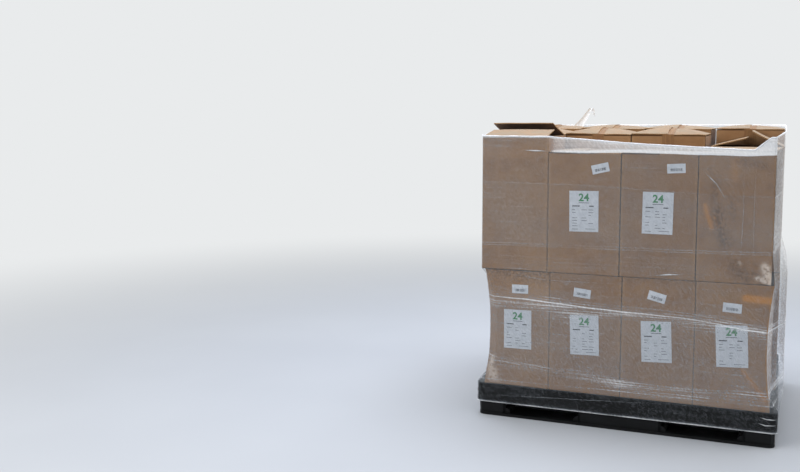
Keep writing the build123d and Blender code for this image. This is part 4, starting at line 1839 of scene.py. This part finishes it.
@dataclass
class StretchWrap:
    """Sleeve of film from the pallet's lip to its uneven rim over the cartons.

    It is laid over the CAD film from outside, point by point, and then gets its wrinkles, its
    rolled rim, its folds and its loose end.
    """

    film: Material
    folds: tuple[FilmFold, ...]
    cell: float = 8.5 * MM
    corner_radius: float = WRAP_CORNER
    corner_steps: int = 14
    reach: float = 50 * MM
    rim_search: tuple[float, float] = (1.10, 1.262)
    side_slack: float = 27 * MM
    slack_from_x: float = 0.5
    slack_front: tuple[float, float] = (-0.46, -0.16)
    slack_back: tuple[float, float] = (0.52, 0.32)
    slack_at_back: float = 0.45
    slack_top: tuple[float, float] = (0.77, 0.64)
    slack_foot: tuple[float, float] = (0.06, 0.18)
    gathered_width: float = 9 * MM
    cover_on_lip: float = -0.24
    roll_cover: float = 0.62
    loose_cover: tuple[float, float] = (0.2, 0.46)
    roll_radius: float = 3.3 * MM
    roll_steps: int = 5
    tail_root: tuple[float, float, float] = (-0.393, 0.4985, 1.236)
    tail_path: tuple[tuple[float, float], ...] = (
        (0.0, 0.0), (0.018, 0.02), (0.042, 0.052), (0.06, 0.082),
        (0.071, 0.0985), (0.078, 0.098), (0.084, 0.082), (0.09, 0.058),
    )
    tail_widths: tuple[float, ...] = (58 * MM, 46 * MM, 32 * MM, 24 * MM, 20 * MM, 18 * MM, 16 * MM, 9 * MM)
    tail_pleat: float = 1.6 * MM
    tail_steps: int = 5
    tail_columns: int = 5
    fold_step: float = 6 * MM
    fold_lift: float = 1.5 * MM

    def build(self) -> Object:
        """Makes the film in place of its CAD node.

        Returns:
            The dressed sleeve.
        """
        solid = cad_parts["stretch_film"].data
        corners = [v.co for v in solid.vertices]
        self.tree = BVHTree.FromPolygons(corners, [tuple(p.vertices) for p in solid.polygons])
        self.rays = self._rays()
        self.lap = self.rays[-1][2] + self.cell
        self.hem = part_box("stretch_film")[0].z
        self.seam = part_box("upper_carton_front_2")[0].z
        self.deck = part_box("pallet_deck")[1].z
        self.open_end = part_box("upper_carton_front_1")[1].x
        parts = SheetParts()
        rims = [self._rim(origin, inward) for origin, inward, _ in self.rays]
        self._sleeve(parts, rims)
        for fold in self.folds:
            self._add_fold(parts, fold)
        self._tail(parts)
        piece = mesh_object("film_sleeve", parts.corners, parts.faces, [self.film])
        set_attribute(piece, "gather", parts.gather)
        set_attribute(piece, "loose", parts.loose)
        chart = piece.data.uv_layers.new(name="wrap")
        for polygon in piece.data.polygons:
            spots = [parts.chart[vertex] for vertex in polygon.vertices]
            wraps = max(spot[0] for spot in spots) - min(spot[0] for spot in spots) > self.lap / 2
            for loop, (along, height) in zip(polygon.loop_indices, spots):
                chart.data[loop].uv = (along + self.lap if wraps and along < self.lap / 2 else along, height)
        seat(piece, Slot.FILM, "stretch_film")
        height = sum(rims) / len(rims) - self.hem
        LOG.info("film: flat %.3f by %.3f m", height, self.lap)
        return piece

    def _rays(self) -> list[tuple[Vector, Vector, float]]:
        """Rays from outside towards the load, round it from the front left corner.

        Returns:
            Start in plan, direction inwards and distance round the load of each ray.
        """
        away = Vector((self.reach, self.reach, 0))
        low, high = CAD_BOX[0] - away, CAD_BOX[1] + away
        rays = []
        along = 0.0
        arc_step = self.corner_radius * math.pi / 2 / self.corner_steps
        for stand in way_round(low, high, self.corner_radius + self.reach, self.corner_steps, self.cell, 1):
            rays.append((Vector((stand.x, stand.y, 0)), -Vector((stand.out_x, stand.out_y, 0)), along))
            along += stand.run or arc_step
        return rays

    def _hit(self, origin: Vector, inward: Vector, z: float) -> Vector | None:
        """Place where a ray at a height meets the film's outer face."""
        return self.tree.ray_cast(Vector((origin.x, origin.y, z)), inward, 0.25)[0]

    def _rim(self, origin: Vector, inward: Vector) -> float:
        """Height of the film's rim on one ray, the loose end left out.

        Args:
            origin: Start of the ray in plan.
            inward: Its direction.

        Returns:
            The greatest height at which it still meets the film.
        """
        low, high = self.rim_search
        while high - low > 0.2 * MM:
            middle = (low + high) / 2
            if self._hit(origin, inward, middle):
                low = middle
            else:
                high = middle
        return low - 0.3 * MM

    def _sleeve(self, parts: SheetParts, rims: Sequence[float]) -> None:
        """Adds the sleeve and its rolled rim.

        Args:
            parts: The film's mesh so far.
            rims: Height of the rim on each ray.
        """
        rows = round((max(rims) - self.hem) / self.cell) + 1
        for row in range(rows):
            t = row / (rows - 1)
            last = []
            for (origin, inward, along), rim in zip(self.rays, rims):
                z = self.hem + (rim - self.hem) * t
                point = self._hit(origin, inward, z)
                place = point - inward * self._wrinkle(point, along, z, rim)
                place.x += pulled_in(place.x, place.y, z)
                parts.add(place, along, z, self._gather(point, z, rim, along), self._looseness(point))
                last.append(place)
        for step in range(1, self.roll_steps + 1):
            angle = math.radians(250 * step / self.roll_steps)
            for (origin, inward, along), rim, point in zip(self.rays, rims, last):
                radius = self.roll_radius * (0.75 + 0.5 * ripple(along, 0, 0, 45 * MM, 6.0))
                place = point - inward * radius * (1 - math.cos(angle))
                place.z += radius * math.sin(angle)
                parts.add(place, along, rim + radius * angle, self.roll_cover)
        parts.strip(0, rows + self.roll_steps, len(self.rays), closed=True)

    def _wrinkle(self, point: Vector, along: float, z: float, rim: float) -> float:
        """How far the film stands out from the tight sleeve.

        Args:
            point: Place on the sleeve.
            along: Distance round the load.
            z: Height.
            rim: Height of the rim there.

        Returns:
            The distance in metres, never below 0.
        """
        fine = abs(ripple(along, 0, z * 0.35, 16 * MM, 1.0))
        slow = 0.5 + 0.5 * ripple(along, 0, z, 70 * MM, 2.0)
        across = abs(ripple(along * 0.16, 0, z, 8 * MM, 3.0))
        at_lip = rise(z, self.deck + 45 * MM, self.deck)
        lower = rise(z, self.seam, self.seam - 200 * MM)
        at_seam = rise(abs(z - self.seam), 60 * MM, 0.0)
        at_rim = rise(z, rim - 75 * MM, rim)
        creased = (0.9 * lower + 1.2 * at_lip + 1.4 * at_seam) * fine * slow
        out = (0.25 * fine + 0.3 * slow + creased + 1.2 * at_rim * across) * MM
        slack = self._slack(point, z)
        smooth = 1 - 0.75 * slack / self.side_slack
        return out * smooth + slack

    def _slack(self, point: Vector, z: float) -> float:
        """How far the film hangs out on the right side, from the upper layer to the pallet.

        Args:
            point: Place on the sleeve.
            z: Height.

        Returns:
            The distance in metres, 0 on the other sides.
        """
        if point.x < self.slack_from_x:
            return 0.0
        along = rise(point.y, *self.slack_front) * max(self.slack_at_back, rise(point.y, *self.slack_back))
        up = rise(z, *self.slack_top) * rise(z, *self.slack_foot)
        return self.side_slack * along * (3 * up ** 2 - 2 * up ** 3)

    def _gather(self, point: Vector, z: float, rim: float, along: float) -> float:
        """Extra cover where the film is bunched up, less where it lies tight on the pallet's lip.

        Args:
            point: Place on the sleeve.
            z: Height.
            rim: Height of the rim there.
            along: Distance round the load.

        Returns:
            Cover to add.
        """
        uneven = 0.7 + 0.45 * ripple(along * 0.3, z, 0, 25 * MM, 4.0)
        at_rim = 0.9 * rise(z, rim - self.gathered_width, rim) + 0.05 * rise(z, rim - 60 * MM, rim)
        at_hem = rise(z, self.hem + self.gathered_width, self.hem)
        on_lip = rise(z, self.deck + 6 * MM, self.deck - 4 * MM)
        return (at_rim + at_hem) * uneven + on_lip * self.cover_on_lip

    def _looseness(self, point: Vector) -> float:
        """Cover of the free band over the front row, most at the right, where it is bunched up.

        Args:
            point: Place on the sleeve.

        Returns:
            The cover, 0 beside the row.
        """
        if point.y > -0.49 or point.x < self.open_end:
            return 0.0
        least, more = self.loose_cover
        to_right = rise(point.x, self.open_end, self.open_end + 0.8)
        return (least + more * to_right) * rise(point.x, self.open_end, self.open_end + 30 * MM)

    def _on_wrap(self, along: float, z: float) -> tuple[Vector, Vector]:
        """Where a place on the wrap lies.

        Args:
            along: Distance round the load.
            z: Height.

        Returns:
            The place and the direction outwards.
        """
        origin, inward, exact = min(self.rays, key=lambda ray: abs(ray[2] - along))
        aside = Vector((-inward.y, inward.x, 0)) * -(along - exact)
        return self._hit(origin + aside, inward, z), -inward

    def _add_fold(self, parts: SheetParts, fold: FilmFold) -> None:
        """Adds a fold, three corners wide and drawn out at both ends.

        Args:
            parts: The film's mesh so far.
            fold: The fold.
        """
        first = len(parts.corners)
        rows = 0
        whole = math.dist(fold.places[0], fold.places[-1])
        for start, end in zip(fold.places, fold.places[1:]):
            length = math.dist(start, end)
            run = (end[0] - start[0], end[1] - start[1])
            across = (-run[1] / length, run[0] / length)
            steps = max(3, round(length / self.fold_step))
            for step in range(steps + (end == fold.places[-1])):
                t = step / steps
                along, z = start[0] + run[0] * t, start[1] + run[1] * t
                s = min(1.0, math.dist((along, z), fold.places[0]) / whole)
                taper = max(0.12, math.sin(math.pi * s)) * (0.85 + 0.3 * ripple(along, z, 0, 40 * MM, 8.0))
                for side in (-1, 0, 1):
                    u = along + across[0] * side * fold.width / 2 * taper
                    v = z + across[1] * side * fold.width / 2 * taper
                    place, out = self._on_wrap(u, v)
                    lift = self.fold_lift + (fold.height * taper if side == 0 else 0.0)
                    parts.add(place + out * lift, u, v, fold.cover * taper if side == 0 else 0.1 * fold.cover)
                rows += 1
        parts.strip(first, rows, 3)

    def _tail(self, parts: SheetParts) -> None:
        """Adds the film's loose end, a twisted ribbon that stands up at the back.

        Args:
            parts: The film's mesh so far.
        """
        first = len(parts.corners)
        root = Vector(self.tail_root)
        last = len(self.tail_path) - 1
        rows = last * self.tail_steps + 1
        for row in range(rows):
            i = min(row // self.tail_steps, last - 1)
            t = row / self.tail_steps - i
            here, after = self.tail_path[i:i + 2]
            x, z = here[0] * (1 - t) + after[0] * t, here[1] * (1 - t) + after[1] * t
            width = self.tail_widths[i] * (1 - t) + self.tail_widths[i + 1] * t
            turn = math.radians(4 + 6 * row / self.tail_steps)
            for column in range(self.tail_columns):
                s = column / (self.tail_columns - 1) - 0.5
                pleat = self.tail_pleat if column % 2 else -self.tail_pleat
                shift = Vector((math.cos(turn) * width * s, pleat - math.sin(turn) * width * abs(s) * 0.8, 0))
                cover = 1.0 if column % 2 else 0.7
                parts.add(root + Vector((x, 0, z)) + shift, 2.9 + width * s, 1.24 + z, cover)
        parts.strip(first, rows, self.tail_columns)


@dataclass(frozen=True)
class Lamp:
    """Square soft lamp that hangs beside or over the load."""

    name: str
    place: tuple[float, float, float]
    target: tuple[float, float, float]
    size: float
    power: float
    tint: str = "#ffffff"

    def build(self) -> None:
        """Hangs the lamp and points it at its target."""
        light = bpy.data.lights.new(self.name, "AREA")
        light.size = self.size
        light.energy = self.power
        light.color = linear(self.tint)[:3]
        holder = put_in_scene(self.name, light)
        holder.location = self.place
        aim = Vector(self.target) - Vector(self.place)
        holder.rotation_euler = aim.to_track_quat("-Z", "Y").to_euler()


@dataclass
class Studio:
    """Pale floor, soft light, and the camera at the photograph's place."""

    paper: Material
    background: str
    lamps: tuple[Lamp, ...] = (
        Lamp("key", (-2.6, -3.8, 2.9), (0.0, 0.0, 0.5), 2.8, 82.0),
        Lamp("top", (-0.2, 0.4, 4.4), (0.0, 0.0, 1.0), 3.2, 196.0, "#e6edff"),
        Lamp("side", (3.8, 0.6, 2.6), (0.4, 0.0, 0.6), 2.0, 38.0),
    )
    even_tint: str = "#eef3fa"
    even_strength: float = 0.5
    floor_size: float = 60.0
    picture_width: float = 800.0
    sensor: float = 36.0
    focal_pixels: float = 934.2
    axis_above_middle: float = 20.0
    camera_place: tuple[float, float, float] = (0.574, -4.318, 1.282)
    yaw: float = -22.04
    pitch: float = 5.93
    roll: float = -0.08

    def build(self) -> None:
        """Sets up floor, light and camera."""
        self._floor()
        self._light()
        self._camera()

    def _floor(self) -> None:
        """Lays the floor as a plain sheet."""
        half = self.floor_size / 2
        corners = [(-half, -half, 0), (half, -half, 0), (half, half, 0), (-half, half, 0)]
        floor = mesh_object("studio_floor", corners, [(0, 1, 2, 3)], [self.paper], smooth=False)

    def _light(self) -> None:
        """Hangs the soft lamps over the load and sets the even light from all round."""
        world = bpy.data.worlds.new("studio")
        bpy.context.scene.world = world
        world.use_nodes = True
        tree = world.node_tree
        tree.nodes.clear()
        even, seen = (
            add_node(tree, "ShaderNodeBackground", {"Color": linear(tint), "Strength": strength}).outputs[0]
            for tint, strength in ((self.even_tint, self.even_strength), (self.background, 1.0))
        )
        mixed = add_node(tree, "ShaderNodeMixShader", {0: background_rays(tree), 1: even, 2: seen})
        add_node(tree, "ShaderNodeOutputWorld", {"Surface": mixed.outputs[0]})
        for lamp in self.lamps:
            lamp.build()

    def _camera(self) -> None:
        """Puts the camera where the photograph was taken from."""
        yaw, pitch, roll = (math.radians(angle) for angle in (self.yaw, self.pitch, self.roll))
        forward = Vector((math.sin(yaw) * math.cos(pitch), math.cos(yaw) * math.cos(pitch), -math.sin(pitch)))
        right = Vector((math.cos(yaw), -math.sin(yaw), 0))
        up = right.cross(forward)
        turned_right = right * math.cos(roll) + up * math.sin(roll)
        turned_up = up * math.cos(roll) - right * math.sin(roll)
        data = bpy.data.cameras.new("photo_camera")
        data.sensor_fit = "HORIZONTAL"
        data.sensor_width = self.sensor
        data.lens = self.focal_pixels / self.picture_width * self.sensor
        data.shift_y = -self.axis_above_middle / self.picture_width
        camera = put_in_scene("photo_camera", data)
        camera.matrix_world = Matrix.Translation(self.camera_place) @ Matrix(
            (turned_right, turned_up, -forward)
        ).transposed().to_4x4()
        bpy.context.scene.camera = camera


# Edges of the film's turns: distance round the load from its front left corner, and height
MAIN_LAP = ((0.0, 0.530), (0.33, 0.517), (0.9, 0.488), (1.17, 0.461), (2.2, 0.42), (3.4, 0.50))
FILM_EDGES = (
    FilmEdge(((0.0, 1.023), (0.6, 1.004), (1.2, 0.984), (2.2, 1.01), (3.4, 1.05)), 3.5 * MM, 0.15,
             veil_below=0.04),
    FilmEdge(((0.0, 0.749), (0.6, 0.753), (1.2, 0.764), (2.2, 0.79), (3.4, 0.76)), 3.5 * MM, 0.18,
             (0.0, 9 * MM), veil_above=0.05),
    FilmEdge(((0.0, 0.700), (0.6, 0.706), (1.2, 0.700), (2.2, 0.70), (3.4, 0.70)), 5 * MM, 0.07,
             (0.0, -16 * MM, -33 * MM)),
    FilmEdge(((0.0, 0.572), (0.6, 0.560), (1.2, 0.548), (2.2, 0.56), (3.4, 0.575)), 6 * MM, 0.06,
             veil_below=0.05),
    FilmEdge(MAIN_LAP, 4 * MM, 0.42, veil_below=0.05),
    FilmEdge(MAIN_LAP, 3.5 * MM, 0.15, (11 * MM, 21 * MM)),
    FilmEdge(((0.0, 0.51), (0.33, 0.50), (0.9, 0.485), (1.17, 0.465), (2.2, 0.41), (3.4, 0.48)),
             42 * MM, 0.14, streaked=0.9),
    FilmEdge(((0.0, 0.262), (0.24, 0.234), (0.5, 0.204), (0.7, 0.197), (1.2, 0.206), (2.2, 0.24),
              (3.4, 0.27)), 4 * MM, 0.14, (0.0, 11 * MM), veil_above=0.04),
    FilmEdge(((0.0, 0.262), (0.24, 0.232), (0.5, 0.2), (0.7, 0.188), (1.2, 0.196), (2.2, 0.24),
              (3.4, 0.27)), 44 * MM, 0.12, streaked=0.9),
    FilmEdge(((0.0, 0.163), (0.6, 0.165), (1.2, 0.168), (2.2, 0.17), (3.4, 0.166)), 4 * MM, 0.2),
)

# Folds that stand up from the film
FILM_FOLDS = (
    FilmFold(((0.947, 1.083), (1.0, 1.030), (1.043, 0.958)), 5 * MM, 1.2 * MM, 0.42),
    FilmFold(((0.77, 0.656), (0.83, 0.664), (0.889, 0.667)), 8 * MM, 1.5 * MM, 0.7),
    FilmFold(((-0.02, 0.111), (0.02, 0.106), (0.055, 0.101)), 5 * MM, 1.6 * MM, 0.8),
    FilmFold(((-0.02, 0.083), (0.02, 0.078), (0.055, 0.074)), 5 * MM, 1.6 * MM, 0.7),
    FilmFold(((1.185, 0.124), (1.215, 0.117), (1.25, 0.118)), 5 * MM, 1.6 * MM, 0.8),
    FilmFold(((1.18, 0.1), (1.21, 0.092), (1.245, 0.096)), 5 * MM, 1.4 * MM, 0.6),
    FilmFold(((0.05, 0.089), (0.45, 0.112), (0.89, 0.138)), 3 * MM, 0.8 * MM, 0.1),
    FilmFold(((1.098, 1.11), (1.102, 0.95), (1.096, 0.70)), 3 * MM, 0.8 * MM, 0.14),
    FilmFold(((1.142, 1.12), (1.140, 0.93), (1.144, 0.75)), 3 * MM, 0.8 * MM, 0.14),
    FilmFold(((0.09, 0.636), (0.35, 0.61), (0.62, 0.613)), 4 * MM, 0.8 * MM, 0.1),
    FilmFold(((1.266, 0.15), (1.27, 0.11), (1.266, 0.07)), 6 * MM, 2 * MM, 0.6),
    FilmFold(((0.225, 1.152), (0.27, 1.151), (0.34, 1.149)), 8 * MM, 1.2 * MM, 0.7),
)

# Marks on the fronts of the cartons, their dark smeared patches painted shade and their pale ripped patches
# partly painted highlight: start and end in X and Z, width, and depth or strength
CARTON_MARKS = {
    "upper_carton_front_4": CartonMarks(
        creases=(Crease((0.337, 1.083), (0.432, 0.958), 10 * MM, 5 * MM),
                 Crease((0.35, 0.98), (0.40, 0.78), 15 * MM, 8 * MM),
                 Crease((0.54, 0.665), (0.56, 0.655), 26 * MM, 13 * MM),
                 Crease((0.49, 0.72), (0.55, 0.69), 9 * MM, 5 * MM)),
        stains=(Crease((0.315, 0.945), (0.342, 0.858), 8 * MM, 0.9),
                Crease((0.42, 1.12), (0.422, 1.05), 14 * MM, 0.3),
                Crease((0.352, 0.905), (0.365, 0.86), 5 * MM, 0.5)),
        shade_smears=(Crease((0.345, 1.02), (0.372, 0.93), 17 * MM, 0.35),
                Crease((0.36, 0.91), (0.395, 0.80), 26 * MM, 0.55),
                Crease((0.405, 0.98), (0.425, 0.9), 13 * MM, 0.3),
                Crease((0.43, 1.12), (0.53, 1.10), 15 * MM, 0.35),
                Crease((0.43, 0.715), (0.47, 0.665), 26 * MM, 0.6),
                Crease((0.50, 0.69), (0.53, 0.655), 12 * MM, 0.4)),
        tears_and_highlights=(Crease((0.543, 0.712), (0.558, 0.665), 15 * MM, 1.4),
               Crease((0.515, 0.668), (0.562, 0.652), 9 * MM, 1.2),
               Crease((0.448, 0.727), (0.452, 0.722), 6 * MM, 0.4)),
    ),
    "lower_carton_front_2": CartonMarks(shade_smears=(Crease((-0.29, 0.65), (0.0, 0.65), 30 * MM, 0.3),)),
    "lower_carton_front_3": CartonMarks(shade_smears=(Crease((0.0, 0.65), (0.29, 0.65), 26 * MM, 0.4),)),
    "lower_carton_front_4": CartonMarks(
        creases=(Crease((0.47, 0.30), (0.56, 0.19), 10 * MM, 5 * MM),),
        stains=(Crease((0.478, 0.588), (0.565, 0.584), 11 * MM, 2.2),
                Crease((0.473, 0.304), (0.56, 0.194), 9 * MM, 0.7)),
    ),
    "lower_carton_front_1": CartonMarks(
        shade_smears=(Crease((-0.56, 0.645), (-0.30, 0.645), 55 * MM, 0.55),),
        tears_and_highlights=(Crease((-0.542, 0.25), (-0.546, 0.165), 13 * MM, 0.7),
               Crease((-0.528, 0.2), (-0.52, 0.16), 12 * MM, 0.6)),
    ),
    "upper_carton_front_1": CartonMarks(
        shade_smears=(Crease((-0.444, 1.056), (-0.442, 1.053), 4 * MM, 1.0),
                Crease((-0.333, 1.062), (-0.331, 1.056), 4 * MM, 1.0)),
    ),
}


def main() -> None:
    """Builds the load's looks, one sub-assembly after the other."""
    logging.basicConfig(level=logging.INFO, format="%(name)s %(message)s")
    wall = KraftBoard("kraft_linerboard", "#a67f58", "#785636", "#bd9a72").build()
    # Darker copy of the board for the inner faces and slits, a painted shade
    inside = KraftBoard("kraft_linerboard_inner_face_shaded", "#7d5a3a", "#553a24", "#8f6a48").build()
    edge = CutBoardEdge("cut_corrugated_edge", "#c9a274", "#6d4c30").build()
    plastic = MouldedPolyethylene("black_moulded_polyethylene", "#08090a", "#1b1d20").build()
    tape = PackingTape("brown_polypropylene_tape", "#8b6239", "#a07848").build()
    paper = LabelPaper("white_coated_label_paper", "#dcdfe4", "#d0d4da").build()
    black = PrintedInk("black_thermal_print", "#1f2123", "#55585b").build()
    grey = PrintedInk("grey_fine_print", "#5e6166", "#8f9297").build()
    green = PrintedInk("green_print", "#12803c", "#3f9a5c").build()
    plan = CAD_BOX[1] - CAD_BOX[0]
    lap = 2 * (plan.x + plan.y) - (8 - 2 * math.pi) * WRAP_CORNER
    film = LinearLowDensityFilm(
        "linear_low_density_stretch_film", "#9aa2a8", "#fbfcfc", FILM_EDGES, lap,
    ).build()
    background = "#e9ebec"
    floor = StudioPaper("seamless_studio_paper", "#c4c6c7", "#bcbec0", background).build()

    for node in ("pallet_deck", "pallet_base"):
        dress(node, plastic)
    CartonStack(BoardFinishes(wall, edge, inside), CARTON_MARKS).build()
    dress("carton_tape", tape)
    Papers(black, grey, green).build(paper)
    StretchWrap(film, FILM_FOLDS).build()
    Studio(floor, background).build()
    bpy.context.scene.view_settings.view_transform = "Standard"


if __name__ == "__main__":
    main()
